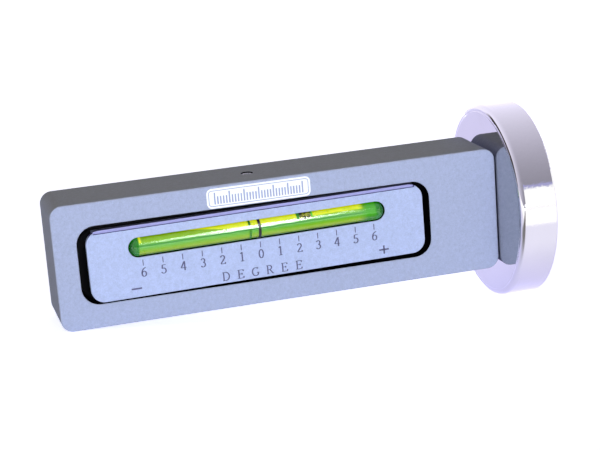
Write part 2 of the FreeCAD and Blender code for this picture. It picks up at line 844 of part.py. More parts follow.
def make_lock_screw():
    body = new_body("lock_screw")
    radius = sheet.lock_diameter / 2
    bevel = sheet.lock_chamfer
    bore = sheet.pad_neck_diameter / 2 + sheet.running_clearance
    turned(body, "Z", [(lock_tip, bore), (lock_tip, radius - bevel), (lock_tip + bevel, radius),
                       (lock_top - bevel, radius), (lock_top, radius - bevel), (lock_top, ZERO),
                       (lock_tip + neck_room, ZERO), (lock_tip + neck_room, bore)])
    socket = sketch_on(body, "XY_Plane", "KeySocket", (ZERO, ZERO, lock_top))
    hexagon(socket, sheet.lock_key)
    pocket(body, socket, sheet.lock_key_depth)
    place(body, zero_place, ZERO, ZERO)
    return finish(body)


def check_document():
    """Stops if any object failed, or if a finished part has no valid shape."""
    document.recompute()
    for item in document.Objects:
        if "Invalid" in item.State or "Error" in item.State:
            raise RuntimeError(f"{item.Label} failed: {item.State}")
    for part in finished_parts:
        if part.Shape.isNull() or not part.Shape.isValid() or not part.Shape.Solids:
            raise RuntimeError(f"{part.Label} has no valid solid")


def write_parts():
    """Writes each finished part to its own file."""
    os.makedirs("parts", exist_ok=True)
    for part in finished_parts:
        part.Shape.exportStep(os.path.join("parts", f"{part.Label}.step"))
        print(f"{part.Label}: {len(part.Shape.Solids)} solid, {part.Shape.Volume:.2f} mm3")


make_body_bar()
make_dowel()
make_swivel()
make_magnet()
make_insert()
make_lock_pad()
make_lock_screw()
check_document()
write_parts()
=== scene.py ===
"""Looks of the camber and caster gauge: finishes, vials, printed scales, floor, light and camera.

The gauge's lengths are written in millimetres and turned into metres by MM; the studio's larger ones
are in metres. The bar, the magnet and the insert keep the shapes of the frame; the vials, their liquid
and bubbles are modelled here.
"""

import json
import logging
import math
from dataclasses import dataclass, field
from enum import Enum

import bmesh
import bpy
from mathutils import Matrix, Quaternion, Vector


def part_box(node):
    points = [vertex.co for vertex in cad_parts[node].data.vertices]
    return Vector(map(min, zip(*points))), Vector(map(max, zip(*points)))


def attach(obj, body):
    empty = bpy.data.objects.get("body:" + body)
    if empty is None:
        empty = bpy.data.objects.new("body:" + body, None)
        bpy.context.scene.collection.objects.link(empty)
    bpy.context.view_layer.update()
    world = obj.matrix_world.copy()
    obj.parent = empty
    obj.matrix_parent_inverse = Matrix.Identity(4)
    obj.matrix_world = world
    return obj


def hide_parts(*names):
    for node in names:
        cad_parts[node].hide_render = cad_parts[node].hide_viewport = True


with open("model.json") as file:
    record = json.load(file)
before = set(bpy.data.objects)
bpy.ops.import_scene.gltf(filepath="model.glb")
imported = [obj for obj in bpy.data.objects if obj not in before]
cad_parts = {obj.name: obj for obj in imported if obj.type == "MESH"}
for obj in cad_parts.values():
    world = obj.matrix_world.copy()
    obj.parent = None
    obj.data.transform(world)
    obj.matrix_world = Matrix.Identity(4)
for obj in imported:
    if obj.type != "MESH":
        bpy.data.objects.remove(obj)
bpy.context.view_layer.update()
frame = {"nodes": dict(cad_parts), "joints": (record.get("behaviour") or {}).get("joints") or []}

log = logging.getLogger("gauge")

MM = 0.001
ROUND_SEGMENTS = 96
SHARP_ANGLE = math.radians(30)
# How far the wheel is steered each way to read caster
STEERING_SWEEP = math.radians(20)

Colour = tuple[float, float, float]
Triple = tuple[float, float, float]
Point = tuple[float, float]
Span = tuple[float, float]
Profile = list[Point]


def srgb(red: int, green: int, blue: int) -> Colour:
    """Turns an 8-bit screen colour into a linear one.

    Args:
        red: Red from 0 to 255.
        green: Green from 0 to 255.
        blue: Blue from 0 to 255.

    Returns:
        The linear colour.
    """
    def linear(level: int) -> float:
        """One channel, from the screen's curve to light."""
        share = level / 255
        return share / 12.92 if share <= 0.04045 else ((share + 0.055) / 1.055) ** 2.4

    return linear(red), linear(green), linear(blue)


def shaded(colour: Colour, share: float) -> Colour:
    """A colour with every channel multiplied by a share."""
    return tuple(level * share for level in colour)


def quarter_turn(step: int) -> list[float]:
    """Angles in radians from 0 to 90 degrees, so many degrees apart."""
    return [math.radians(angle) for angle in range(0, 91, step)]


def lifted(colour: Colour, amount: float) -> Colour:
    """A colour with the same amount added to every channel."""
    return tuple(level + amount for level in colour)


class Nodes:
    """The nodes of one material, group or world, with short ways to add and join them."""

    def __init__(self, tree: bpy.types.NodeTree) -> None:
        """Starts from an empty tree.

        Args:
            tree: The node tree to fill.
        """
        self.tree = tree
        tree.nodes.clear()

    def put(self, socket: bpy.types.NodeSocket, value: object) -> None:
        """Gives an input a constant, or joins an output to it.

        Args:
            socket: The input.
            value: A number, a colour, a vector or another node's output.
        """
        if isinstance(value, bpy.types.NodeSocket):
            self.tree.links.new(value, socket)
        elif socket.type == "RGBA" and len(value) == 3:
            socket.default_value = (*value, 1.0)
        else:
            socket.default_value = value

    def add(self, kind: str, inputs: dict[object, object] | None = None,
            **settings: object) -> bpy.types.Node:
        """Adds a node.

        Args:
            kind: Its type, without the ShaderNode in front.
            inputs: Values or outputs for its inputs, by name or number.
            **settings: The node's own settings.

        Returns:
            The node.
        """
        node = self.tree.nodes.new(kind if kind.startswith("NodeGroup") else f"ShaderNode{kind}")
        for name, value in settings.items():
            setattr(node, name, value)
        for key, value in (inputs or {}).items():
            self.put(node.inputs[key], value)
        return node

    def math(self, operation: str, *values: object, clamp: bool = False) -> bpy.types.NodeSocket:
        """One step of arithmetic on numbers or outputs."""
        node = self.add("Math", dict(enumerate(values)), operation=operation, use_clamp=clamp)
        return node.outputs[0]

    def band(self, value: object, low: float, high: float) -> bpy.types.NodeSocket:
        """A smooth rise from 0 at low to 1 at high; low may be the larger, for a fall."""
        node = self.add("MapRange", {"Value": value, "From Min": low, "From Max": high},
                        interpolation_type="SMOOTHSTEP")
        return node.outputs["Result"]

    def mix(self, share: object, first: object, second: object) -> bpy.types.NodeSocket:
        """A mix of two colours; share 1 gives the second."""
        node = self.add("Mix", {0: share, 6: first, 7: second}, data_type="RGBA")
        return node.outputs[2]

    def vary(self, share: object, low: float, high: float) -> bpy.types.NodeSocket:
        """A number that runs from low to high as share runs from 0 to 1."""
        node = self.add("MapRange", {"Value": share, "To Min": low, "To Max": high})
        return node.outputs["Result"]

    def product(self, *values: object) -> bpy.types.NodeSocket:
        """Numbers or outputs multiplied together.

        Args:
            *values: The first has to be an output.

        Returns:
            Their product.
        """
        result = values[0]
        for value in values[1:]:
            result = self.math("MULTIPLY", result, value)
        return result

    def place(self) -> bpy.types.NodeSocket:
        """A place in the piece's own coordinates."""
        return self.add("TexCoord").outputs["Object"]

    def facing(self) -> bpy.types.NodeSocket:
        """The way that a face points, without its smoothing."""
        return self.add("NewGeometry").outputs["True Normal"]

    def split(self, vector: object) -> bpy.types.bpy_prop_collection:
        """The X, Y and Z of a vector, by name."""
        return self.add("SeparateXYZ", {0: vector}).outputs

    def scaled(self, vector: object, factors: Triple) -> bpy.types.NodeSocket:
        """A vector with each axis scaled by its own factor."""
        return self.add("VectorMath", {0: vector, 1: factors}, operation="MULTIPLY").outputs[0]

    def length(self, vector: object) -> bpy.types.NodeSocket:
        """How long a vector is."""
        return self.add("VectorMath", {0: vector}, operation="LENGTH").outputs["Value"]

    def radius(self, place: object) -> bpy.types.NodeSocket:
        """How far a place lies from the axis along X."""
        return self.length(self.scaled(place, (0.0, 1.0, 1.0)))

    def noise(self, place: object, scale: float, detail: float = 2.0) -> bpy.types.NodeSocket:
        """Plain noise at a place, with so many grains to the metre."""
        node = self.add("TexNoise", {"Vector": place, "Scale": scale, "Detail": detail})
        return node.outputs["Fac"]

    def swirl(self, place: object, scale: object, curl: float, detail: float = 3.0) -> bpy.types.NodeSocket:
        """Noise drawn out into curls, with so many grains to the metre."""
        inputs = {"Vector": place, "Scale": scale, "Detail": detail, "Distortion": curl}
        return self.add("TexNoise", inputs).outputs["Fac"]

    def bump(self, height: object, distance: float) -> bpy.types.NodeSocket:
        """A bumped normal from a height and the real depth in metres of its full swing."""
        return self.add("Bump", {"Height": height, "Distance": distance, "Strength": 1.0}).outputs["Normal"]

    def seen(self) -> bpy.types.NodeSocket:
        """Tells what is looked at from what only gives light.

        Returns:
            1 for the camera and for mirrors and clear pieces, and 0 for light on matt ones.
        """
        path = self.add("LightPath").outputs
        either = self.math("MAXIMUM", path["Is Camera Ray"], path["Is Glossy Ray"])
        return self.math("MAXIMUM", either, path["Is Transmission Ray"])

    def principled(self, inputs: dict[str, object]) -> bpy.types.NodeSocket:
        """The surface shader with these inputs."""
        return self.add("BsdfPrincipled", inputs).outputs[0]


def shader_group(name: str, inputs: dict[str, tuple[str, float]],
                 outputs: dict[str, str]) -> tuple[bpy.types.NodeTree, Nodes, bpy.types.Node, bpy.types.Node]:
    """Makes an empty shader node group with named sockets.

    Args:
        name: The group's name.
        inputs: Socket type and default by input name.
        outputs: Socket type by output name.

    Returns:
        The group, its nodes, the node of its inputs and the node of its outputs.
    """
    group = bpy.data.node_groups.new(name, "ShaderNodeTree")
    for label, (kind, default) in inputs.items():
        socket = group.interface.new_socket(label, in_out="INPUT", socket_type=f"NodeSocket{kind}")
        socket.default_value = default
    for label, kind in outputs.items():
        group.interface.new_socket(label, in_out="OUTPUT", socket_type=f"NodeSocket{kind}")
    nodes = Nodes(group)
    return group, nodes, nodes.add("NodeGroupInput"), nodes.add("NodeGroupOutput")


def blasted_group() -> bpy.types.NodeTree:
    """Makes the fine pits of a bead-blasted surface, as a height and as a shade.

    Returns:
        The group.
    """
    fine_per_metre, cloud_per_metre = 3200.0, 900.0
    pit_share, fine_share = 0.7, 0.6
    group, nodes, given, made = shader_group(
        "blasted", {"Pits per metre": ("Float", 2500.0)}, {"Height": "Float", "Shade": "Float"})
    place = nodes.place()
    pits = nodes.add("TexVoronoi", {"Vector": place, "Scale": given.outputs[0]}, feature="SMOOTH_F1")
    fine = nodes.noise(place, fine_per_metre, 3.0)
    cloud = nodes.noise(place, cloud_per_metre, 3.0)
    height = nodes.math("ADD", nodes.product(pits.outputs["Distance"], pit_share), fine)
    shade = nodes.math("ADD", nodes.product(fine, fine_share), nodes.product(cloud, 1 - fine_share))
    nodes.put(made.inputs["Height"], height)
    nodes.put(made.inputs["Shade"], shade)
    return group


def handled_group() -> bpy.types.NodeTree:
    """Makes a mask of where hands have touched: soft patches with finer wipe marks in them.

    Returns:
        The group.
    """
    patch_edge, patch_curl = (0.42, 0.68), 0.6
    wipes_per_metre, wipe_stretch, wipe_swing = 420.0, (0.35, 1.0, 2.2), (0.5, 1.0)
    group, nodes, given, made = shader_group(
        "handled", {"Patches per metre": ("Float", 30.0)}, {"Mask": "Float"})
    place = nodes.place()
    patches = nodes.swirl(place, given.outputs[0], patch_curl)
    wipes = nodes.noise(nodes.scaled(place, wipe_stretch), wipes_per_metre)
    mask = nodes.product(nodes.band(patches, *patch_edge), nodes.vary(wipes, *wipe_swing))
    nodes.put(made.inputs["Mask"], mask)
    return group


def edge_group() -> bpy.types.NodeTree:
    """Makes a mask of a square piece's bevels, by their slant, where a finish rubs through first.

    Returns:
        The group.
    """
    bevel_start, bevel_end = (0.3, 0.6), (0.95, 0.8)
    breaks_per_metre, break_swing = 350.0, (0.2, 1.3)
    group, nodes, given, made = shader_group("edges", {"Wear": ("Float", 0.6)}, {"Mask": "Float"})
    across = nodes.math("ABSOLUTE", nodes.split(nodes.facing())["Y"])
    slanted = nodes.product(nodes.band(across, *bevel_start), nodes.band(across, *bevel_end))
    broken = nodes.vary(nodes.noise(nodes.place(), breaks_per_metre, 3.0), *break_swing)
    worn = nodes.math("MULTIPLY", nodes.product(slanted, broken), given.outputs[0], clamp=True)
    nodes.put(made.inputs["Mask"], worn)
    return group


def turned_group() -> bpy.types.NodeTree:
    """Makes the rings left by a lathe or grinder, round the magnet's axis.

    Returns:
        The group.
    """
    group, nodes, given, made = shader_group(
        "turned", {"Rings per metre": ("Float", 4000.0)}, {"Height": "Float", "Shade": "Float"})
    along = nodes.product(nodes.radius(nodes.place()), given.outputs[0])
    rings = nodes.add("TexNoise", {"W": along, "Scale": 1.0, "Detail": 2.0}, noise_dimensions="1D")
    nodes.put(made.inputs["Height"], rings.outputs["Fac"])
    nodes.put(made.inputs["Shade"], rings.outputs["Fac"])
    return group


class Effects:
    """The shared shader groups, each built once."""

    def __init__(self) -> None:
        """Builds them all."""
        self.trees = {"blasted": blasted_group(), "handled": handled_group(), "edges": edge_group(),
                      "turned": turned_group()}

    def use(self, nodes: Nodes, name: str, value: float) -> bpy.types.Node:
        """Places a shared group in a material.

        Args:
            nodes: The material's nodes.
            name: The group's name.
            value: Its one input.

        Returns:
            The group's node.
        """
        node = nodes.add("Group", node_tree=self.trees[name])
        node.inputs[0].default_value = value
        return node


effects = Effects()


def new_material(name: str) -> tuple[bpy.types.Material, Nodes, bpy.types.Node]:
    """Makes an empty material.

    Args:
        name: The finish's name.

    Returns:
        The material, its nodes and its output node.
    """
    material = bpy.data.materials.new(name)
    material.use_nodes = True
    nodes = Nodes(material.node_tree)
    return material, nodes, nodes.add("OutputMaterial")


@dataclass(frozen=True)
class ShadePatch:
    """Walls in a box of a piece's own coordinates, along one axis, painted a colour that stands for the shade
    that falls on them.
    """

    low: Triple
    high: Triple
    along: str
    # Near-black by default: painted shade
    colour: Colour = (0.0015, 0.0015, 0.0018)
    slant: Span = (0.5, 0.3)

    def mask(self, nodes: Nodes) -> bpy.types.NodeSocket:
        """1 on the walls in the box and 0 elsewhere.

        Args:
            nodes: The nodes of the block's finish.

        Returns:
            The mask.
        """
        place = nodes.split(nodes.place())
        normal = nodes.split(nodes.facing())
        share = nodes.band(nodes.math("ABSOLUTE", normal[self.along]), *self.slant)
        for axis, low, high in zip("XYZ", self.low, self.high):
            share = nodes.product(share, nodes.math("GREATER_THAN", place[axis], low),
                                  nodes.math("LESS_THAN", place[axis], high))
        return share


@dataclass(frozen=True)
class Anodised:
    """Blasted and anodised aluminium: matt, faintly speckled, paler on its worn bevels."""

    name: str
    colour: Colour
    bare: Colour = (0.72, 0.73, 0.78)
    pits_per_metre: float = 2600.0
    pit_depth: float = 0.012 * MM
    speckle: float = 0.32
    metallic: float = 0.05
    roughness: float = 0.46
    unevenness: float = 0.05
    polish: float = 0.05
    touches_per_metre: float = 28.0
    wear: float = 0.12
    # Walls given painted shade: dark colours where shade falls in hollows
    patches: tuple[ShadePatch, ...] = ()

    def build(self) -> bpy.types.Material:
        """Builds the finish.

        Returns:
            The material.
        """
        material, nodes, output = new_material(self.name)
        grain = effects.use(nodes, "blasted", self.pits_per_metre).outputs
        touched = effects.use(nodes, "handled", self.touches_per_metre).outputs["Mask"]
        edges = effects.use(nodes, "edges", self.wear).outputs["Mask"]
        speckled = nodes.mix(grain["Shade"], shaded(self.colour, 1 - self.speckle),
                             shaded(self.colour, 1 + self.speckle))
        matt = nodes.vary(grain["Shade"], self.roughness - self.unevenness, self.roughness + self.unevenness)
        colour = nodes.mix(edges, speckled, self.bare)
        # Painted shade on the walls of hollows
        for shade_patch in self.patches:
            colour = nodes.mix(shade_patch.mask(nodes), colour, shade_patch.colour)
        nodes.put(output.inputs[0], nodes.principled({
            "Base Color": colour,
            "Metallic": self.metallic,
            "Roughness": nodes.math("ADD", matt, nodes.product(touched, -self.polish)),
            "Specular IOR Level": 0.0,
            "Normal": nodes.bump(grain["Height"], self.pit_depth),
        }))
        return material


@dataclass(frozen=True)
class Chrome:
    """Mirror-bright chrome plate over turned steel, with faint wipe marks.

    Its ripples, streaks and line add up to one height in millimetres.
    """

    name: str
    colour: Colour = (0.53, 0.525, 0.52)
    smeared: float = 0.96
    roughness: float = 0.035
    smear: float = 0.06
    touches_per_metre: float = 45.0
    ripple: float = 0.004 * MM
    ripples_per_metre: float = 260.0
    rings_per_metre: float = 1500.0
    ring_share: float = 0.12
    rim_slant: Span = (0.7, 0.3)
    streak_stretch: Triple = (6.0, 0.35, 0.35)
    streaks_per_metre: float = 130.0
    chatter: float = 0.035 * MM
    chatter_per_metre: float = 620.0
    chatter_share: float = 0.8
    line_radius: float = 31.0 * MM
    line_width: float = 0.7 * MM
    line_depth: float = 0.09 * MM

    def build(self) -> bpy.types.Material:
        """Builds the finish.

        Returns:
            The material.
        """
        material, nodes, output = new_material(self.name)
        place = nodes.place()
        touched = effects.use(nodes, "handled", self.touches_per_metre).outputs["Mask"]
        rings = effects.use(nodes, "turned", self.rings_per_metre).outputs["Height"]
        height = nodes.product(nodes.noise(place, self.ripples_per_metre), self.ripple / MM)
        height = nodes.math("MULTIPLY_ADD", rings, self.ring_share * self.ripple / MM, height)
        height = nodes.math("MULTIPLY_ADD", self._rim_marks(nodes, place), self.chatter / MM, height)
        height = nodes.math("MULTIPLY_ADD", self._line(nodes, place), -self.line_depth / MM, height)
        nodes.put(output.inputs[0], nodes.principled({
            "Base Color": nodes.mix(touched, self.colour, shaded(self.colour, self.smeared)),
            "Metallic": 1.0,
            "Roughness": nodes.vary(touched, self.roughness, self.roughness + self.smear),
            "Normal": nodes.bump(height, MM),
        }))
        return material

    def _rim_marks(self, nodes: Nodes, place: bpy.types.NodeSocket) -> bpy.types.NodeSocket:
        """Draws polishing streaks round the rim, and the fine chatter under them.

        Args:
            nodes: The finish's nodes.
            place: A place in the magnet's own coordinates.

        Returns:
            Their height, which is 0 on the flat sides.
        """
        side = nodes.math("ABSOLUTE", nodes.split(nodes.facing())["X"])
        streaks = nodes.noise(nodes.scaled(place, self.streak_stretch), self.streaks_per_metre)
        chatter = nodes.noise(place, self.chatter_per_metre)
        marks = nodes.math("MULTIPLY_ADD", chatter, self.chatter_share, streaks)
        return nodes.product(marks, nodes.band(side, *self.rim_slant))

    def _line(self, nodes: Nodes, place: bpy.types.NodeSocket) -> bpy.types.NodeSocket:
        """The fine turned line where each flat side meets the rounded edge."""
        away = nodes.math("ABSOLUTE", nodes.math("SUBTRACT", nodes.radius(place), self.line_radius))
        return nodes.band(away, self.line_width / 2, 0.0)


@dataclass(frozen=True)
class TurnedMetal:
    """Plain machined metal with the rings of its turning."""

    name: str
    colour: Colour
    roughness: float = 0.28
    smear: float = 0.14
    metallic: float = 1.0
    rings_per_metre: float = 5000.0
    ring_depth: float = 0.006 * MM
    ring_shade: float = 0.82
    touches_per_metre: float = 90.0

    def build(self) -> bpy.types.Material:
        """Builds the finish.

        Returns:
            The material.
        """
        material, nodes, output = new_material(self.name)
        rings = effects.use(nodes, "turned", self.rings_per_metre).outputs
        touched = effects.use(nodes, "handled", self.touches_per_metre).outputs["Mask"]
        nodes.put(output.inputs[0], nodes.principled({
            "Base Color": nodes.mix(rings["Shade"], shaded(self.colour, self.ring_shade), self.colour),
            "Metallic": self.metallic,
            "Roughness": nodes.vary(touched, self.roughness, self.roughness + self.smear),
            "Normal": nodes.bump(rings["Height"], self.ring_depth),
        }))
        return material


@dataclass(frozen=True)
class Moulded:
    """A moulded, cast or sintered non-metal with a fine skin."""

    name: str
    colour: Colour
    roughness: float = 0.5
    polish: float = 0.12
    gloss: float = 0.5
    skin_per_metre: float = 1800.0
    skin_depth: float = 0.01 * MM
    mottle: float = 0.15
    touches_per_metre: float = 60.0

    def build(self) -> bpy.types.Material:
        """Builds the finish.

        Returns:
            The material.
        """
        material, nodes, output = new_material(self.name)
        grain = effects.use(nodes, "blasted", self.skin_per_metre).outputs
        touched = effects.use(nodes, "handled", self.touches_per_metre).outputs["Mask"]
        dark, pale = shaded(self.colour, 1 - self.mottle), shaded(self.colour, 1 + self.mottle)
        nodes.put(output.inputs[0], nodes.principled({
            "Base Color": nodes.mix(grain["Shade"], dark, pale),
            "Roughness": nodes.vary(touched, self.roughness, self.roughness - self.polish),
            "Specular IOR Level": self.gloss,
            "Normal": nodes.bump(grain["Height"], self.skin_depth),
        }))
        return material


@dataclass(frozen=True)
class Enamel:
    """Matt enamel, a little paler where it has been touched."""

    name: str
    colour: Colour
    roughness: float = 0.5
    smear: float = 0.04
    paler: float = 0.01
    touches_per_metre: float = 300.0

    def build(self) -> bpy.types.Material:
        """Builds the finish.

        Returns:
            The material.
        """
        material, nodes, output = new_material(self.name)
        touched = effects.use(nodes, "handled", self.touches_per_metre).outputs["Mask"]
        nodes.put(output.inputs[0], nodes.principled({
            "Base Color": nodes.mix(touched, self.colour, lifted(self.colour, self.paler)),
            "Roughness": nodes.vary(touched, self.roughness, self.roughness + self.smear),
            "Specular IOR Level": 0.0,
        }))
        return material


@dataclass(frozen=True)
class Ink:
    """Screen-printed ink: a matt film, a little uneven."""

    name: str
    colour: Colour
    roughness: float = 0.55
    unevenness: float = 0.06
    paler: float = 0.03
    grains_per_metre: float = 3000.0

    def build(self) -> bpy.types.Material:
        """Builds the finish.

        Returns:
            The material.
        """
        material, nodes, output = new_material(self.name)
        shade = effects.use(nodes, "blasted", self.grains_per_metre).outputs["Shade"]
        smooth, rough = self.roughness - self.unevenness, self.roughness + self.unevenness
        nodes.put(output.inputs[0], nodes.principled({
            "Base Color": nodes.mix(shade, self.colour, lifted(self.colour, self.paler)),
            "Roughness": nodes.vary(shade, smooth, rough),
        }))
        return material


@dataclass(frozen=True)
class ClearAcrylic:
    """The vial's clear barrel; it lets the lamps through to the liquid."""

    name: str
    tint: Colour = (0.97, 1.0, 0.95)
    refraction: float = 1.49
    roughness: float = 0.1
    smear: float = 0.02
    touches_per_metre: float = 120.0

    def build(self) -> bpy.types.Material:
        """Builds the finish.

        Returns:
            The material.
        """
        material, nodes, output = new_material(self.name)
        touched = effects.use(nodes, "handled", self.touches_per_metre).outputs["Mask"]
        glass = nodes.principled({
            "Base Color": self.tint,
            "Metallic": 0.0,
            "Transmission Weight": 1.0,
            "IOR": self.refraction,
            "Roughness": nodes.vary(touched, self.roughness, self.roughness + self.smear),
        })
        path = nodes.add("LightPath").outputs
        passing = nodes.math("MAXIMUM", path["Is Shadow Ray"], path["Is Diffuse Ray"])
        clear = nodes.add("BsdfTransparent", {"Color": self.tint}).outputs[0]
        nodes.put(output.inputs[0], nodes.add("MixShader", {0: passing, 1: glass, 2: clear}).outputs[0])
        return material


# The spirit's colours by angle round the vial, from straight down at 0 to straight up at 1, with light and
# shade painted in: darkest at the bottom
SPIRIT_PAINTED_BANDS = (
    (0.0, srgb(8, 56, 12)), (0.15, srgb(18, 72, 8)), (0.19, srgb(126, 160, 6)), (0.30, srgb(148, 182, 0)),
    (0.40, srgb(124, 182, 12)), (0.48, srgb(104, 180, 58)), (0.525, srgb(108, 184, 84)),
    (0.545, srgb(72, 146, 66)), (0.575, srgb(84, 162, 72)), (0.62, srgb(112, 186, 66)),
    (0.70, srgb(138, 194, 14)), (0.85, srgb(140, 186, 12)), (1.0, srgb(124, 166, 10)),
)


@dataclass(frozen=True)
class VialLiquid:
    """Fluorescent spirit with its light and shade painted in: yellow where the light enters at the top, green
    below, painted shade in the ends.

    The bands lie along the barrel, by angle round its axis, as light gathers in a round vial. A level is
    a share of the way from straight down to straight up. Places along the vial count from its middle
    towards the magnet, and depths count inward from where its round ends start.
    """

    name: str
    side: int
    axis_y: float
    axis_z: float
    reach: float
    # Emission of the painted colours: painted glow that stands in for light
    glow: float = 0.5
    matt_share: float = 0.55
    roughness: float = 0.3
    flow_stretch: Triple = (0.2, 1.0, 1.0)
    wander: float = 9.0
    wander_per_metre: float = 300.0
    # The yellow top, lit where the light enters: painted light
    streak_levels: Span = (0.98, 0.72)
    streak_climb: Span = (-27 * MM, -8 * MM)
    streak_edge: float = 0.012
    streak_end: Span = (36 * MM, 35 * MM)
    swirl_per_metre: float = 420.0
    swirl_curl: float = 1.2
    swirl_edge: Span = (0.56, 0.66)
    painted_light_yellows: tuple[Colour, Colour] = (srgb(238, 246, 30), srgb(204, 226, 12))
    # A yellow seam just inside the round end away from the magnet: painted light
    rim_levels: Span = (0.66, 0.70)
    rim_half: Span = (0.0, -MM)
    rim_outer: Span = (0.1 * MM, 0.35 * MM)
    rim_inner: Span = (1.1 * MM, 0.7 * MM)
    rim_painted_light: Colour = srgb(235, 245, 40)
    # Towards the magnet's end the yellow gives way to greens darker low down: painted shade
    far_start: Span = (33.5 * MM, 37.5 * MM)
    far_levels: Span = (0.25, 0.5)
    far_painted_greens: tuple[Colour, Colour] = (srgb(52, 128, 4), srgb(66, 168, 22))
    # Darker greens deep in the round ends: painted shade
    end_depths: Span = (-3.2 * MM, -0.4 * MM)
    end_painted_shade: tuple[Colour, Colour] = (srgb(10, 74, 12), srgb(34, 130, 26))
    end_join: Span = (-0.15 * MM, 0.15 * MM)

    def build(self) -> bpy.types.Material:
        """Builds the finish.

        Returns:
            The material.
        """
        material, nodes, output = new_material(self.name)
        place = nodes.place()
        parts = nodes.split(place)
        flow = nodes.scaled(place, self.flow_stretch)
        level = self._level(nodes, parts, flow)
        ramp = nodes.add("ValToRGB", {0: level})
        self._fill(ramp.color_ramp)
        inward = nodes.math("SUBTRACT", self.reach, nodes.math("ABSOLUTE", parts["X"]))

        swirl = nodes.swirl(flow, self.swirl_per_metre, self.swirl_curl)
        # Painted light: the yellow top
        yellow = nodes.mix(nodes.band(swirl, *self.swirl_edge), *self.painted_light_yellows)
        lit = nodes.mix(self._painted_light_streak(nodes, parts["X"], level), ramp.outputs["Color"], yellow)
        # Painted light: the yellow seam by the round end
        rim = nodes.product(nodes.band(level, *self.rim_levels), nodes.band(parts["X"], *self.rim_half),
                            nodes.band(inward, *self.rim_outer), nodes.band(inward, *self.rim_inner))
        lit = nodes.mix(rim, lit, self.rim_painted_light)
        # Painted shade: greens darker low down by the magnet's end
        far = nodes.mix(nodes.band(level, *self.far_levels), *self.far_painted_greens)
        lit = nodes.mix(nodes.band(parts["X"], *self.far_start), lit, far)
        # Painted shade in the round ends
        ends = nodes.mix(nodes.band(inward, *self.end_depths), *self.end_painted_shade)
        colour = nodes.mix(nodes.band(inward, *self.end_join), ends, lit)
        nodes.put(output.inputs[0], nodes.principled({
            "Base Color": nodes.mix(self.matt_share, (0.0, 0.0, 0.0), colour),
            "Roughness": self.roughness,
            "Specular IOR Level": 0.0,
            # The painted colours also glow: painted light
            "Emission Color": colour,
            "Emission Strength": self.glow,
        }))
        return material

    def _level(self, nodes: Nodes, parts: bpy.types.bpy_prop_collection,
               flow: bpy.types.NodeSocket) -> bpy.types.NodeSocket:
        """Turns a place into its level, which wanders a little along the vial.

        Args:
            nodes: The finish's nodes.
            parts: The place's X, Y and Z.
            flow: The place, drawn out along the vial.

        Returns:
            The level.
        """
        outward = nodes.product(nodes.math("SUBTRACT", parts["Y"], self.axis_y), self.side)
        upward = nodes.math("SUBTRACT", parts["Z"], self.axis_z)
        angle = nodes.product(nodes.math("ARCTAN2", upward, outward), 180 / math.pi)
        drift = nodes.math("SUBTRACT", nodes.noise(flow, self.wander_per_metre), 0.5)
        turned = nodes.math("ADD", angle, nodes.product(drift, self.wander))
        return nodes.math("DIVIDE", nodes.math("ADD", turned, 90.0), 180.0, clamp=True)

    def _painted_light_streak(self, nodes: Nodes, along: bpy.types.NodeSocket,
                level: bpy.types.NodeSocket) -> bpy.types.NodeSocket:
        """Masks the painted light of the yellow top, whose foot sinks towards the magnet.

        Args:
            nodes: The finish's nodes.
            along: The place along the vial.
            level: The level.

        Returns:
            The mask.
        """
        foot = nodes.vary(nodes.band(along, *self.streak_climb), *self.streak_levels)
        above = nodes.band(nodes.math("SUBTRACT", level, foot), -self.streak_edge, self.streak_edge)
        return nodes.product(above, nodes.band(along, *self.streak_end))

    @staticmethod
    def _fill(ramp: bpy.types.ColorRamp) -> None:
        """Sets the ramp's colours.

        Args:
            ramp: A new ramp, which has two stops.
        """
        for element, (position, colour) in zip(ramp.elements, (SPIRIT_PAINTED_BANDS[0], SPIRIT_PAINTED_BANDS[-1])):
            element.position, element.color = position, (*colour, 1)
        for position, colour in SPIRIT_PAINTED_BANDS[1:-1]:
            ramp.elements.new(position).color = (*colour, 1)


@dataclass(frozen=True)
class BubbleSkin:
    """The bubble as it looks through the liquid, with its reflections, highlight and shade painted in: olive,
    green at one end and brighter green at the other.

    Shares of its length run from 0 at its far end to 1 at its end towards the magnet.
    """

    name: str
    middle: float
    length: float
    swirl_per_metre: float = 900.0
    swirl_curl: float = 1.4
    swirl_edge: Span = (0.47, 0.63)
    # Dark and tan swirls: painted reflections and shade inside the bubble
    painted_olives: tuple[Colour, Colour] = (srgb(34, 46, 6), srgb(196, 194, 58))
    # A green wedge at the far end: painted light bent through the liquid
    foot_share: Span = (0.30, 0.22)
    foot: Colour = srgb(52, 150, 30)
    # A bright green edge at the end towards the magnet: painted highlight
    head_share: Span = (0.79, 0.83)
    painted_bright_end: Colour = srgb(62, 214, 40)
    # Emission: painted glow
    glow: float = 0.12
    roughness: float = 0.12
    gloss: float = 0.1

    def build(self) -> bpy.types.Material:
        """Builds the finish.

        Returns:
            The material.
        """
        material, nodes, output = new_material(self.name)
        place = nodes.place()
        start = self.middle - self.length / 2
        along = nodes.math("DIVIDE", nodes.math("SUBTRACT", nodes.split(place)["X"], start), self.length)
        swirl = nodes.swirl(place, self.swirl_per_metre, self.swirl_curl)
        olive = nodes.mix(nodes.band(swirl, *self.swirl_edge), *self.painted_olives)
        footed = nodes.mix(nodes.band(along, *self.foot_share), olive, self.foot)
        colour = nodes.mix(nodes.band(along, *self.head_share), footed, self.painted_bright_end)
        nodes.put(output.inputs[0], nodes.principled({
            "Base Color": colour,
            "Roughness": self.roughness,
            "Specular IOR Level": self.gloss,
            "Emission Color": colour,
            "Emission Strength": self.glow,
        }))
        return material


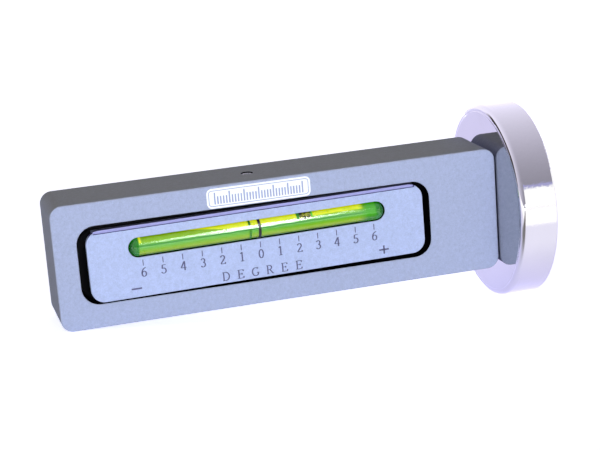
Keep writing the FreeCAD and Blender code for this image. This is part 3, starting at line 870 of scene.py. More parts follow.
class Palette:
    """Every finish of the gauge that doesn't depend on a place, built once."""

    def __init__(self) -> None:
        """Builds them all."""
        self.backing = Anodised("backing_anodised", srgb(168, 170, 200), speckle=0.04, roughness=0.36,
                                wear=0.3).build()
        self.chrome = Chrome("polished_chrome").build()
        self.steel = TurnedMetal("bright_steel", (0.62, 0.62, 0.64)).build()
        self.black_steel = TurnedMetal("blackened_steel", (0.012, 0.012, 0.013), roughness=0.42,
                                       metallic=0.4).build()
        self.brass = TurnedMetal("turned_brass", (0.68, 0.5, 0.22)).build()
        self.ferrite = TurnedMetal("ground_ferrite", (0.06, 0.06, 0.066), roughness=0.4, metallic=0.35,
                                   rings_per_metre=2500.0, ring_depth=0.02 * MM).build()
        self.resin = Moulded("cast_resin", (0.012, 0.012, 0.014), roughness=0.22, skin_depth=0.004 * MM,
                             skin_per_metre=300.0).build()
        self.nylon = Moulded("black_nylon", (0.03, 0.03, 0.032), roughness=0.48).build()
        self.core = Moulded("core_plastic", (0.0015, 0.0015, 0.0018), roughness=0.8, gloss=0.1).build()
        self.tape = Moulded("foam_tape", (0.012, 0.012, 0.013), roughness=0.85, skin_depth=0.03 * MM).build()
        self.barrel = ClearAcrylic("clear_acrylic").build()
        self.scale_ink = Ink("scale_ink", srgb(76, 74, 112)).build()
        self.badge_white = Ink("badge_white", srgb(246, 246, 248), roughness=0.4).build()
        self.badge_blue = Ink("badge_blue", srgb(146, 155, 190)).build()
        self.ring_dark = TurnedMetal("ring_metal", (0.05, 0.05, 0.05), roughness=0.2).build()
        self.ring_green = Enamel("ring_green", srgb(52, 132, 8)).build()


def finish_node(node: str, material: bpy.types.Material) -> None:
    """Gives a node of the frame its finish.

    Args:
        node: The node's name.
        material: The finish.
    """
    for slot in frame["nodes"][node].material_slots:
        slot.material = material
    log.info("%s: %s", node, material.name)


def new_piece(name: str, mesh: bpy.types.Mesh, material: bpy.types.Material, body: str,
              place: Matrix | None = None) -> bpy.types.Object:
    """Turns a mesh into a named piece that rides on a body.

    Args:
        name: The piece's name.
        mesh: Its mesh.
        material: Its finish.
        body: The body that it moves with.
        place: Where its own coordinates lie in the gauge's frame.

    Returns:
        The piece.
    """
    piece = bpy.data.objects.new(name, mesh)
    bpy.context.scene.collection.objects.link(piece)
    mesh.materials.append(material)
    piece.matrix_world = place or Matrix.Identity(4)
    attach(piece, body)
    log.info("%s: %d faces, rides on %s", name, len(mesh.polygons), body)
    return piece


def mesh_from(shape: bmesh.types.BMesh, name: str, smooth: bool = True) -> bpy.types.Mesh:
    """Writes a bmesh into a mesh and frees it.

    Args:
        shape: The geometry.
        name: The mesh's name.
        smooth: Whether faces shade smoothly between sharp edges.

    Returns:
        The mesh.
    """
    bmesh.ops.recalc_face_normals(shape, faces=shape.faces)
    mesh = bpy.data.meshes.new(name)
    shape.to_mesh(mesh)
    shape.free()
    if smooth:
        mesh.shade_smooth()
        mesh.set_sharp_from_angle(angle=SHARP_ANGLE)
    return mesh


def lathe(profile: Profile, name: str, centre: Vector, closed: bool = False) -> bpy.types.Mesh:
    """Turns a profile round an axis along X.

    Args:
        profile: (along, radius) points in metres; a radius of 0 closes an end.
        name: The mesh's name.
        centre: Where the axis and the profile's 0 lie.
        closed: Whether the profile's last point joins its first, as for a ring.

    Returns:
        The mesh.
    """
    shape = bmesh.new()
    turns = [2 * math.pi * step / ROUND_SEGMENTS for step in range(ROUND_SEGMENTS)]
    rings = []
    for along, radius in profile:
        if radius <= 0:
            rings.append([shape.verts.new(centre + Vector((along, 0, 0)))])
            continue
        rings.append([shape.verts.new(centre + Vector((along, radius * math.sin(a), radius * math.cos(a))))
                      for a in turns])
    pairs = list(zip(rings, rings[1:])) + ([(rings[-1], rings[0])] if closed else [])
    for first, second in pairs:
        for step in range(ROUND_SEGMENTS):
            after = (step + 1) % ROUND_SEGMENTS
            if len(first) == 1:
                shape.faces.new((first[0], second[after], second[step]))
            elif len(second) == 1:
                shape.faces.new((first[step], first[after], second[0]))
            else:
                shape.faces.new((first[step], first[after], second[after], second[step]))
    return mesh_from(shape, name)


@dataclass(frozen=True)
class Line:
    """A straight stroke of a glyph, in shares of its height."""

    x0: float
    y0: float
    x1: float
    y1: float

    def points(self) -> list[Point]:
        """Its two ends."""
        return [(self.x0, self.y0), (self.x1, self.y1)]


@dataclass(frozen=True)
class Arc:
    """A stroke along an ellipse, in shares of the glyph's height and degrees from its right."""

    x: float
    y: float
    across: float
    up: float
    start: float
    end: float

    def points(self) -> list[Point]:
        """Works out points along the arc, every 12 degrees or finer.

        Returns:
            The points.
        """
        steps = max(3, math.ceil(abs(self.end - self.start) / 12))
        angles = [math.radians(self.start + (self.end - self.start) * k / steps) for k in range(steps + 1)]
        return [(self.x + self.across * math.cos(a), self.y + self.up * math.sin(a)) for a in angles]


STEM = Line(0.12, 0.0, 0.12, 1.0)
STEM_FEET = [Line(0.0, 0.02, 0.24, 0.02), Line(0.0, 0.98, 0.24, 0.98)]

# Strokes of each sign, and its width, in shares of its height
GLYPHS: dict[str, tuple[float, list[Line | Arc]]] = {
    "0": (0.52, [Arc(0.26, 0.5, 0.19, 0.46, 0, 360)]),
    "1": (0.40, [Line(0.22, 0.0, 0.22, 1.0), Line(0.06, 0.85, 0.22, 0.98), Line(0.06, 0.02, 0.38, 0.02)]),
    "2": (0.50, [Arc(0.25, 0.72, 0.18, 0.24, 165, -20), Line(0.42, 0.64, 0.06, 0.06),
                 Line(0.05, 0.05, 0.46, 0.05), Line(0.46, 0.0, 0.48, 0.18)]),
    "3": (0.48, [Arc(0.23, 0.75, 0.16, 0.21, 160, -90), Arc(0.22, 0.29, 0.20, 0.25, 90, -155)]),
    "4": (0.54, [Line(0.34, 0.98, 0.03, 0.30), Line(0.03, 0.30, 0.52, 0.30), Line(0.37, 1.0, 0.37, 0.0)]),
    "5": (0.50, [Line(0.14, 0.96, 0.44, 0.96), Line(0.14, 0.96, 0.10, 0.56),
                 Arc(0.22, 0.32, 0.21, 0.28, 125, -155)]),
    "6": (0.52, [Arc(0.47, 0.33, 0.41, 0.64, 92, 178), Arc(0.26, 0.31, 0.19, 0.28, 0, 360)]),
    "8": (0.50, [Arc(0.25, 0.75, 0.15, 0.21, 0, 360), Arc(0.25, 0.28, 0.19, 0.25, 0, 360)]),
    "D": (0.72, [STEM, *STEM_FEET, Line(0.12, 0.98, 0.30, 0.98), Line(0.12, 0.02, 0.30, 0.02),
                 Arc(0.30, 0.5, 0.36, 0.48, 90, -90)]),
    "E": (0.62, [STEM, *STEM_FEET, Line(0.12, 0.98, 0.56, 0.98), Line(0.12, 0.02, 0.58, 0.02),
                 Line(0.12, 0.52, 0.42, 0.52), Line(0.56, 0.98, 0.56, 0.80), Line(0.58, 0.02, 0.58, 0.22),
                 Line(0.42, 0.42, 0.42, 0.62)]),
    "G": (0.74, [Arc(0.38, 0.5, 0.32, 0.47, 48, 318), Line(0.62, 0.40, 0.62, 0.12),
                 Line(0.50, 0.40, 0.74, 0.40), Line(0.60, 0.84, 0.60, 0.98)]),
    "R": (0.70, [STEM, *STEM_FEET, Line(0.12, 0.98, 0.28, 0.98), Line(0.12, 0.50, 0.28, 0.50),
                 Arc(0.28, 0.74, 0.22, 0.24, 90, -90), Line(0.32, 0.50, 0.62, 0.02),
                 Line(0.56, 0.02, 0.72, 0.02)]),
    "-": (0.80, [Line(0.0, 0.5, 0.8, 0.5)]),
    "+": (0.80, [Line(0.0, 0.5, 0.8, 0.5), Line(0.4, 0.1, 0.4, 0.9)]),
}

# Signs drawn with one even width of line
EVEN_SIGNS = "-+"


@dataclass
class Print:
    """A screen print on a flat face: ribbons of ink, drawn as with a broad pen.

    Coordinates are those of the printed face as its reader sees them: x to the right, z up.
    """

    side: int
    face: float
    film: float = 0.02 * MM
    thin: float = 0.07
    thick: float = 0.15
    spread: float = 1.18
    shape: bmesh.types.BMesh = field(default_factory=bmesh.new)

    def ribbon(self, points: list[Point], widths: list[float]) -> None:
        """Lays a ribbon of ink along points.

        Args:
            points: The middle line, in metres.
            widths: The ribbon's width at each point.
        """
        edges = []
        last = len(points) - 1
        for number, (x, z) in enumerate(points):
            before, after = points[max(0, number - 1)], points[min(last, number + 1)]
            dx, dz = after[0] - before[0], after[1] - before[1]
            length = math.hypot(dx, dz)
            offset = widths[number] / 2 / length
            edges.append(((x - dz * offset, z + dx * offset), (x + dz * offset, z - dx * offset)))
        self.slab([a for a, _ in edges] + [b for _, b in reversed(edges)])

    def slab(self, outline: list[Point]) -> None:
        """Lays a film of ink inside an outline whose second half runs back beside its first.

        Args:
            outline: Its points in order, in metres.
        """
        half = len(outline) // 2
        layers = []
        for depth in (self.face, self.face + self.film):
            layers.append([self.shape.verts.new((-self.side * x, self.side * depth, z)) for x, z in outline])
        for layer in layers:
            for k in range(half - 1):
                other = len(outline) - 1 - k
                self.shape.faces.new((layer[k], layer[k + 1], layer[other - 1], layer[other]))
        low, high = layers
        for k in range(len(outline)):
            after = (k + 1) % len(outline)
            self.shape.faces.new((low[k], low[after], high[after], high[k]))

    def line(self, x0: float, z0: float, x1: float, z1: float, width: float) -> None:
        """A straight line of one width."""
        self.ribbon([(x0, z0), (x1, z1)], [width, width])

    def sign(self, glyph: str, x: float, z: float, height: float) -> None:
        """Prints one sign, its foot centred on a point.

        Args:
            glyph: The sign.
            x: The middle of its foot.
            z: Its foot.
            height: Its height.
        """
        width, strokes = GLYPHS[glyph]
        for stroke in strokes:
            points = stroke.points()
            widths = []
            for number in range(len(points)):
                before, after = points[max(0, number - 1)], points[min(len(points) - 1, number + 1)]
                rise, run = after[1] - before[1], after[0] - before[0]
                steep = 1.0 if glyph in EVEN_SIGNS else abs(rise) / math.hypot(rise, run)
                widths.append((self.thin + (self.thick - self.thin) * steep) * height)
            self.ribbon([(x + (px - width / 2) * self.spread * height, z + pz * height) for px, pz in points],
                        widths)

    def piece(self, name: str, material: bpy.types.Material, body: str, slot: str,
              place: Matrix | None = None) -> bpy.types.Object:
        """Finishes the print as a piece of the object."""
        return new_piece(name, mesh_from(self.shape, name, smooth=False), material, body, place)


class Side(Enum):
    """The two readable sides, with the side of the bar's mid-plane that each is on."""

    CAMBER = -1
    CASTER = 1

    @property
    def word(self) -> str:
        """The side's name as its nodes have it."""
        return self.name.lower()


@dataclass
class Bar:
    """The milled bar with its badge place, and the swivel at its end."""

    palette: Palette
    badge_length: float = 34.8 * MM
    badge_height: float = 6.6 * MM
    badge_corner: float = 1.7 * MM
    badge_right_of_zero: float = 0.7 * MM
    badge_rise: float = 16.55 * MM
    line_inset: float = 0.75 * MM
    line_width: float = 0.22 * MM
    rule_ticks: int = 31
    rule_pitch: float = 0.98 * MM
    rule_width: float = 0.46 * MM
    rule_group: int = 5
    rule_long: float = 3.9 * MM
    rule_short: float = 2.6 * MM
    rule_drop: float = 1.95 * MM
    marks_film: float = 0.01 * MM
    window_left: float = 7.6 * MM
    window_right: float = 23.8 * MM
    window_rail: float = 7.75 * MM
    hole_radius: float = 2.3 * MM
    opening_margin: float = 1.0 * MM

    def build(self, zero: float) -> None:
        """Dresses the bar and the swivel, and prints the badge.

        Args:
            zero: The zero mark's place along the bar.
        """
        # The window's and the lock hole's walls are painted near-black: painted shade
        finish = Anodised("bar_anodised", srgb(166, 174, 200), patches=self._shaded_openings(zero))
        finish_node("body_bar", finish.build())
        finish_node("thread_bush", self.palette.steel)
        finish_node("swivel_screw", self.palette.black_steel)
        finish_node("thrust_washer", self.palette.nylon)
        finish_node("disc_spring", self.palette.steel)
        finish_node("rocker_dowel", self.palette.steel)
        face = -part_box("body_bar")[0].y
        middle = zero + self.badge_right_of_zero
        ground = Print(Side.CAMBER.value, face)
        ground.slab(self._outline(middle, 0.0))
        ground.piece("badge_ground", self.palette.badge_white, "gauge_body", "bar_anodised")
        marks = Print(Side.CAMBER.value, face + ground.film, film=self.marks_film)
        outline = self._outline(middle, self.line_inset)
        outline.append(outline[0])
        marks.ribbon(outline, [self.line_width] * len(outline))
        for number in range(self.rule_ticks):
            from_middle = number - (self.rule_ticks - 1) / 2
            x = middle + from_middle * self.rule_pitch
            rise = self.rule_long if from_middle % self.rule_group == 0 else self.rule_short
            foot = self.badge_rise - self.rule_drop
            marks.line(x, foot, x, foot + rise, self.rule_width)
        marks.piece("badge_marks", self.palette.badge_blue, "gauge_body", "bar_anodised")

    def _shaded_openings(self, zero: float) -> tuple[ShadePatch, ShadePatch]:
        """Finds the walls of the window and of the lock screw's hole, which are painted near-black as painted
        shade.

        Args:
            zero: The zero mark's place along the bar.

        Returns:
            Both openings.
        """
        low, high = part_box("body_bar")
        margin = self.opening_margin
        # Painted shade: near-black walls inside the window and the hole
        window = ShadePatch((low.x + self.window_left - margin, low.y, low.z + self.window_rail - margin),
                       (high.x - self.window_right + margin, high.y, high.z - self.window_rail + margin), "Y")
        hole = ShadePatch((zero - self.hole_radius, -self.hole_radius, high.z - self.window_rail),
                     (zero + self.hole_radius, self.hole_radius, high.z + margin), "Z")
        return window, hole

    def _outline(self, middle: float, inset: float) -> list[Point]:
        """Draws a rounded rectangle's outline, from its left end to its right along the top, then back.

        Args:
            middle: The rectangle's middle along the bar.
            inset: How far it lies inside the badge's edge.

        Returns:
            The outline's points.
        """
        half = self.badge_length / 2 - inset
        high = self.badge_height / 2 - inset
        corner = self.badge_corner - inset
        quarter = quarter_turn(15)
        left, right = middle - half + corner, middle + half - corner
        level = self.badge_rise + high - corner
        top = [(left - corner * math.cos(a), level + corner * math.sin(a)) for a in quarter]
        top += [(right + corner * math.sin(a), level + corner * math.cos(a)) for a in quarter]
        low = [(x, 2 * self.badge_rise - z) for x, z in reversed(top)]
        return top + low


@dataclass
class PotMagnet:
    """The chromed steel cup with its ferrite ring, resin and washer."""

    palette: Palette

    def build(self) -> None:
        """Dresses the magnet."""
        finish_node("magnet_cup", self.palette.chrome)
        finish_node("ferrite_ring", self.palette.ferrite)
        finish_node("resin_ring", self.palette.resin)
        finish_node("plain_washer", self.palette.steel)


@dataclass
class InsertFrame:
    """Where the tilting insert's own axes lie: origin on the dowel's axis, x along the insert."""

    origin: Vector
    along: Vector

    @classmethod
    def from_joints(cls, joints: list[dict]) -> "InsertFrame":
        """Reads the insert's frame from the joints that carry it and its bubbles."""
        by_name = {joint["name"]: joint for joint in joints}
        return cls(Vector(by_name["insert_tilt"]["pos_m"]),
                   Vector(by_name["camber_bubble_run"]["axis"]).normalized())

    @property
    def matrix(self) -> Matrix:
        """From the insert's coordinates to the gauge's."""
        tilt = math.atan2(self.along.z, self.along.x)
        return Matrix.Translation(self.origin) @ Matrix.Rotation(-tilt, 4, "Y")


@dataclass
class Vial:
    """One spirit vial: clear barrel, liquid, marking rings and bubble."""

    side: Side
    palette: Palette
    insert: InsertFrame
    wall: float = 0.65 * MM
    zero_width: float = 0.95 * MM
    zero_rise: float = 0.12 * MM
    second_ring: float = -3.1 * MM
    second_width: float = 0.8 * MM
    film: float = 0.03 * MM
    bubble_length: float = 7.2 * MM
    bubble_spread: float = 62.0
    bubble_shoulder: float = 2.4 * MM
    bubble_tip: float = 0.02
    underside_width: float = 0.94
    underside_sag: float = 0.03
    bubble_steps: int = 24
    bubble_spokes: int = 20

    def __post_init__(self) -> None:
        """Measures the barrel on the frame's own pieces."""
        inverse = self.insert.matrix.inverted()
        tube = frame["nodes"][f"{self.side.word}_vial_tube"].data.vertices
        points = [inverse @ vertex.co for vertex in tube]
        low = Vector(min(point[axis] for point in points) for axis in range(3))
        high = Vector(max(point[axis] for point in points) for axis in range(3))
        self.radius = (high.y - low.y) / 2
        self.reach = (high.x - low.x) / 2
        self.centre = (low + high) / 2
        bubble = frame["nodes"][f"{self.side.word}_bubble"].data.vertices
        places = [(inverse @ vertex.co).x for vertex in bubble]
        self.bubble_place = (min(places) + max(places)) / 2

    def build(self) -> None:
        """Builds the vial's pieces."""
        word = self.side.word
        place = self.insert.matrix
        bore = self.radius - self.wall
        barrel = lathe(self._capsule(self.radius), f"{word}_vial_barrel", self.centre)
        piece = new_piece(f"{word}_vial_barrel", barrel, self.palette.barrel, "scale_insert",
                          place)
        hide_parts(f"{word}_vial_tube", f"{word}_vial_end_left", f"{word}_vial_end_right")

        finish = VialLiquid(f"{word}_spirit", self.side.value, self.centre.y, self.centre.z, self.reach)
        filling = lathe(self._capsule(bore), f"{word}_vial_spirit", self.centre)
        piece = new_piece(f"{word}_vial_spirit", filling, finish.build(), "scale_insert",
                          place)
        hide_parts(f"{word}_liquid")

        self._ring("zero", 0.0, self.zero_width, self.zero_rise, self.radius, self.palette.ring_dark)
        self._ring("second", self.second_ring, self.second_width, self.film, bore, self.palette.ring_green)
        self._bubble(bore + self.film)

    def _capsule(self, radius: float) -> Profile:
        """Draws a round-ended profile about the barrel's middle.

        Args:
            radius: Its radius.

        Returns:
            The profile.
        """
        left = [(-self.reach - radius * math.cos(a), radius * math.sin(a)) for a in quarter_turn(6)]
        left[0] = (left[0][0], 0.0)
        return left + [(-along, r) for along, r in reversed(left)]

    def _ring(self, name: str, along: float, width: float, rise: float, radius: float,
              material: bpy.types.Material) -> None:
        """Puts a marking ring round the vial, flat with rounded edges.

        Args:
            name: The ring's name.
            along: Its place along the vial.
            width: Its width.
            rise: How far it stands proud.
            radius: The radius that it lies on.
            material: Its finish.
        """
        left = [(along - width / 2 + rise * (1 - math.cos(a)), radius + rise * math.sin(a))
                for a in quarter_turn(15)]
        profile = left + [(2 * along - x, r) for x, r in reversed(left)]
        profile = [(along - width / 2, radius - self.film), *profile, (along + width / 2, radius - self.film)]
        label = f"{self.side.word}_{name}_ring"
        mesh = lathe(profile, label, self.centre, closed=True)
        new_piece(label, mesh, material, "scale_insert", self.insert.matrix)

    def _bubble(self, radius: float) -> None:
        """Builds the bubble, which lies against the top of the bore and has ends as round as the bore's.

        Args:
            radius: The bore's radius.
        """
        shape = bmesh.new()
        rings = []
        for step in range(self.bubble_steps + 1):
            outline = self._bubble_outline(-math.cos(math.pi * step / self.bubble_steps), radius)
            rings.append([shape.verts.new(point) for point in outline])
        for first, second in zip(rings, rings[1:]):
            for k in range(len(first)):
                after = (k + 1) % len(first)
                shape.faces.new((first[k], first[after], second[after], second[k]))
        shape.faces.new(rings[0])
        shape.faces.new(rings[-1])
        word = self.side.word
        skin = BubbleSkin(f"{word}_bubble_skin", self.bubble_place, self.bubble_length).build()
        piece = new_piece(f"{word}_air_bubble", mesh_from(shape, f"{word}_air_bubble"), skin,
                          f"{word}_bubble", self.insert.matrix)
        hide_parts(f"{word}_bubble")

    def _bubble_outline(self, along: float, radius: float) -> list[Vector]:
        """Draws the bubble's section at one place: a roof round the bore and a flatter underside.

        Args:
            along: The place, from -1 at one end to 1 at the other.
            radius: The bore's radius.

        Returns:
            The section's points.
        """
        fullness = (1 - along ** 4) ** 0.5
        x = self.bubble_place + along * self.bubble_length / 2
        beyond = max(0.0, abs(x - self.bubble_place) - self.bubble_shoulder)
        lift = math.sqrt(radius ** 2 - beyond ** 2)
        spread = math.radians(self.bubble_spread) * max(fullness, self.bubble_tip)
        turns = [spread * (2 * spoke / self.bubble_spokes - 1) for spoke in range(self.bubble_spokes + 1)]
        roof = [(math.sin(turn), math.cos(turn)) for turn in turns]
        level = math.cos(spread) - self.underside_sag * fullness
        underside = [(across * self.underside_width, level) for across, _ in reversed(roof[1:-1])]
        return [self.centre + Vector((x - self.centre.x, lift * across, lift * up))
                for across, up in roof + underside]


@dataclass
class ScaleSide:
    """One readable side of the insert: backing, screws, tape, plate, print and vial."""

    side: Side
    palette: Palette
    insert: InsertFrame
    plate: bpy.types.Material
    tick_pitch: float
    last_tick: int
    number_every: int
    plate_recess: float = 0.3 * MM
    tick_foot: float = 11.15 * MM
    tick_head: float = 13.1 * MM
    tick_width: float = 0.3 * MM
    number_foot: float = 7.45 * MM
    number_height: float = 3.05 * MM
    word: str = "DEGREE"
    word_foot: float = 1.75 * MM
    word_height: float = 2.9 * MM
    word_pitch: float = 4.95 * MM
    sign_reach: float = 42.0 * MM
    sign_foot: float = 2.0 * MM
    sign_height: float = 3.6 * MM

    def build(self) -> None:
        """Dresses the side's nodes, prints its scale and builds its vial."""
        name = self.side.word
        finish_node(f"{name}_backing", self.palette.backing)
        finish_node(f"{name}_clamp_screws", self.palette.black_steel)
        finish_node(f"{name}_tape", self.palette.tape)
        finish_node(f"{name}_scale_plate", self.plate)
        self._print_scale()
        Vial(self.side, self.palette, self.insert).build()

    def _print_scale(self) -> None:
        """Prints ticks, numbers, the unit and the two signs."""
        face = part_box("body_bar")[1].y - self.plate_recess
        scale = Print(self.side.value, face)
        for tick in range(-self.last_tick, self.last_tick + 1):
            x = tick * self.tick_pitch
            scale.line(x, self.tick_foot, x, self.tick_head, self.tick_width)
            if tick % self.number_every == 0:
                scale.sign(str(abs(tick)), x, self.number_foot, self.number_height)
        for number, letter in enumerate(self.word):
            x = (number - (len(self.word) - 1) / 2) * self.word_pitch
            scale.sign(letter, x, self.word_foot, self.word_height)
        for sign, x in (("-", -self.sign_reach), ("+", self.sign_reach)):
            scale.sign(sign, x, self.sign_foot, self.sign_height)
        scale.piece(f"{self.side.word}_scale_print", self.palette.scale_ink, "scale_insert", "plate_anodised",
                    self.insert.matrix)


@dataclass
class TiltingInsert:
    """The insert in the bar's window: core and two readable sides.

    The camber scale shows whole degrees at degree_pitch. A degree of caster moves the bubble by
    caster_share of that. The slot's walls, the step and the ledge under it carry painted shade in each
    plate's finish.
    """

    palette: Palette
    frame: InsertFrame
    degree_pitch: float = 6.51 * MM
    caster_share: float = 2 * math.sin(STEERING_SWEEP)
    slot_margin: float = 1.5 * MM
    step_depth: float = 0.4 * MM
    # Painted shade: deep green on the slot's walls, lilac on the recessed step, violet on the upward ledge
    # under it
    slot_painted_shade: Colour = (0.004, 0.01, 0.002)
    step_painted_shade: Colour = srgb(166, 166, 212)
    ledge_painted_shade: Colour = srgb(96, 92, 140)

    def build(self) -> None:
        """Builds the insert."""
        finish_node("insert_core", self.palette.core)
        # The plate's finish carries painted shade on its slot walls, step and ledge
        plate = Anodised("plate_anodised", srgb(177, 188, 220), speckle=0.36, pit_depth=0.006 * MM,
                         pits_per_metre=3600.0, bare=srgb(202, 210, 240), wear=0.5,
                         patches=self._plate_shade()).build()
        ScaleSide(Side.CAMBER, self.palette, self.frame, plate, self.degree_pitch,
                  last_tick=6, number_every=1).build()
        ScaleSide(Side.CASTER, self.palette, self.frame, plate, self.degree_pitch * self.caster_share,
                  last_tick=8, number_every=2).build()

    def _plate_shade(self) -> tuple[ShadePatch, ...]:
        """Finds where the plates carry painted shade: the walls round the vials, and the step along their top
        edges.

        Returns:
            The walls, the step and the darker ledge under it, each with its painted shade.
        """
        low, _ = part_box("camber_vial_end_left")
        _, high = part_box("camber_vial_end_right")
        plate_low, plate_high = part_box("camber_scale_plate")
        slot = ShadePatch((low.x - self.slot_margin, plate_low.y, low.z - self.slot_margin),
                     (high.x + self.slot_margin, -plate_low.y, high.z + self.slot_margin), "Y",
                     self.slot_painted_shade)
        step_face = -plate_low.y - self.step_depth
        step_low = (plate_low.x, -step_face, high.z + self.slot_margin)
        step_high = (plate_high.x, step_face, plate_high.z)
        step = ShadePatch(step_low, step_high, "X", self.step_painted_shade)
        ledge = ShadePatch((step_low[0], plate_low.y, step_low[2]), (step_high[0], -plate_low.y, step_high[2]),
                      "Y", self.ledge_painted_shade)
        return slot, step, ledge


@dataclass
class LockScrew:
    """The grub screw over the zero mark, and its brass pad."""

    palette: Palette

    def build(self) -> None:
        """Dresses the lock."""
        finish_node("lock_screw", self.palette.steel)
        finish_node("lock_pad", self.palette.brass)


class LampUse(Enum):
    """What a lamp does: it lights surfaces, or it is only seen in glossy ones."""

    LIGHT = "light"
    MIRROR = "mirror"


@dataclass(frozen=True)
class Lamp:
    """A soft rectangular lamp that faces the object.

    Its azimuth is in degrees from straight in front, towards the magnet's end, and its elevation in
    degrees above the floor's level. Distance, width and height are in metres. A radiance of 1 is white.
    Its top leans so many degrees towards the magnet's end.
    """

    name: str
    use: LampUse
    azimuth: float
    elevation: float
    distance: float
    width: float
    height: float
    radiance: float
    colour: Colour
    lean: float = 0.0

    def hang(self, middle: Vector, tilt: Quaternion) -> None:
        """Hangs the lamp.

        Args:
            middle: The place that it faces.
            tilt: The floor's tilt.
        """
        lamp = bpy.data.lights.new(self.name, "AREA")
        lamp.shape = "RECTANGLE"
        lamp.size, lamp.size_y = self.width, self.height
        lamp.energy = self.radiance * math.pi * self.width * self.height
        lamp.color = self.colour
        holder = bpy.data.objects.new(self.name, lamp)
        holder.visible_diffuse = self.use is LampUse.LIGHT
        holder.visible_glossy = holder.visible_transmission = self.use is LampUse.MIRROR
        bpy.context.scene.collection.objects.link(holder)
        a, e = math.radians(self.azimuth), math.radians(self.elevation)
        out = tilt @ Vector((math.sin(a) * math.cos(e), -math.cos(a) * math.cos(e), math.sin(e)))
        holder.matrix_world = (Matrix.Translation(middle + out * self.distance)
                               @ out.to_track_quat("Z", "Y").to_matrix().to_4x4()
                               @ Matrix.Rotation(math.radians(-self.lean), 4, "Z"))
        if self.use is LampUse.MIRROR:
            self._spare_chrome(holder)

    @staticmethod
    def _spare_chrome(lamp: bpy.types.Object) -> None:
        """Keeps a lamp's image off the magnet's chrome, as a flag beside it does in a studio.

        Args:
            lamp: The lamp.
        """
        spared = bpy.data.collections.new(f"{lamp.name}_spares")
        spared.objects.link(bpy.data.objects["magnet_cup"])
        spared.collection_objects[0].light_linking.link_state = "EXCLUDE"
        lamp.light_linking.receiver_collection = spared


# The broad lights, and the strips that draw the lines on the vial
LAMPS = (
    Lamp("front", LampUse.LIGHT, azimuth=-9.0, elevation=3.0, distance=0.9, width=0.7, height=0.2,
         radiance=20.0, colour=(0.77, 0.845, 1.0)),
    Lamp("rear", LampUse.LIGHT, azimuth=165.0, elevation=3.0, distance=1.0, width=0.6, height=0.4,
         radiance=15.0, colour=(0.86, 0.91, 1.0)),
    Lamp("strip", LampUse.MIRROR, azimuth=11.8, elevation=38.4, distance=1.25, width=0.15, height=0.92,
         radiance=20.0, colour=(0.97, 1.0, 1.0), lean=9.6),
    Lamp("thin_strip", LampUse.MIRROR, azimuth=10.6, elevation=37.4, distance=1.26, width=0.31, height=0.5,
         radiance=12.0, colour=(0.92, 1.0, 0.98), lean=9.6),
)


@dataclass(frozen=True)
class FloorCard:
    """A plain pale floor that shows white to the camera and keeps the shadow.

    Mirrors see it lilac under the object, paler in front of it, and dark in a patch before the bar.
    Spans are places in its own coordinates, whose origin lies under the magnet's face.
    """

    name: str = "pale_floor"
    card: Colour = (0.86, 0.86, 0.88)
    roughness: float = 0.9
    near: Colour = (0.76, 0.78, 0.95)
    far: Colour = (1.0, 1.0, 1.0)
    sweep: Span = (0.3, 0.7)
    under: Colour = (0.75, 0.72, 1.25)
    before: Colour = (1.16, 1.15, 1.5)
    before_start: Span = (-10 * MM, -60 * MM)
    front: Colour = (1.66, 1.66, 1.8)
    front_start: Span = (-105 * MM, -125 * MM)
    dark: Colour = (0.05, 0.05, 0.1)
    dark_right: Span = (-10 * MM, -30 * MM)
    dark_left: Span = (-90 * MM, -60 * MM)

    def build(self) -> bpy.types.Material:
        """Builds the finish.

        Returns:
            The material.
        """
        material, nodes, output = new_material(self.name)
        card = nodes.principled({
            "Base Color": self.card,
            "Roughness": self.roughness,
            "Specular IOR Level": 0.0,
        })
        place = nodes.place()
        parts = nodes.split(place)
        ahead = nodes.band(parts["Y"], *self.before_start)
        mirrored = nodes.mix(ahead, self.under, self.before)
        mirrored = nodes.mix(nodes.band(parts["Y"], *self.front_start), mirrored, self.front)
        dark = nodes.product(ahead, nodes.product(nodes.band(parts["X"], *self.dark_right),
                                                  nodes.band(parts["X"], *self.dark_left)))
        mirrored = nodes.mix(dark, mirrored, self.dark)
        shown = nodes.mix(nodes.band(nodes.length(place), *self.sweep), self.near, self.far)
        glow = nodes.mix(nodes.add("LightPath").outputs["Is Camera Ray"], mirrored, shown)
        shine = nodes.add("Emission", {"Color": glow, "Strength": nodes.seen()}).outputs[0]
        nodes.put(output.inputs[0], nodes.add("AddShader", {0: card, 1: shine}).outputs[0])
        return material


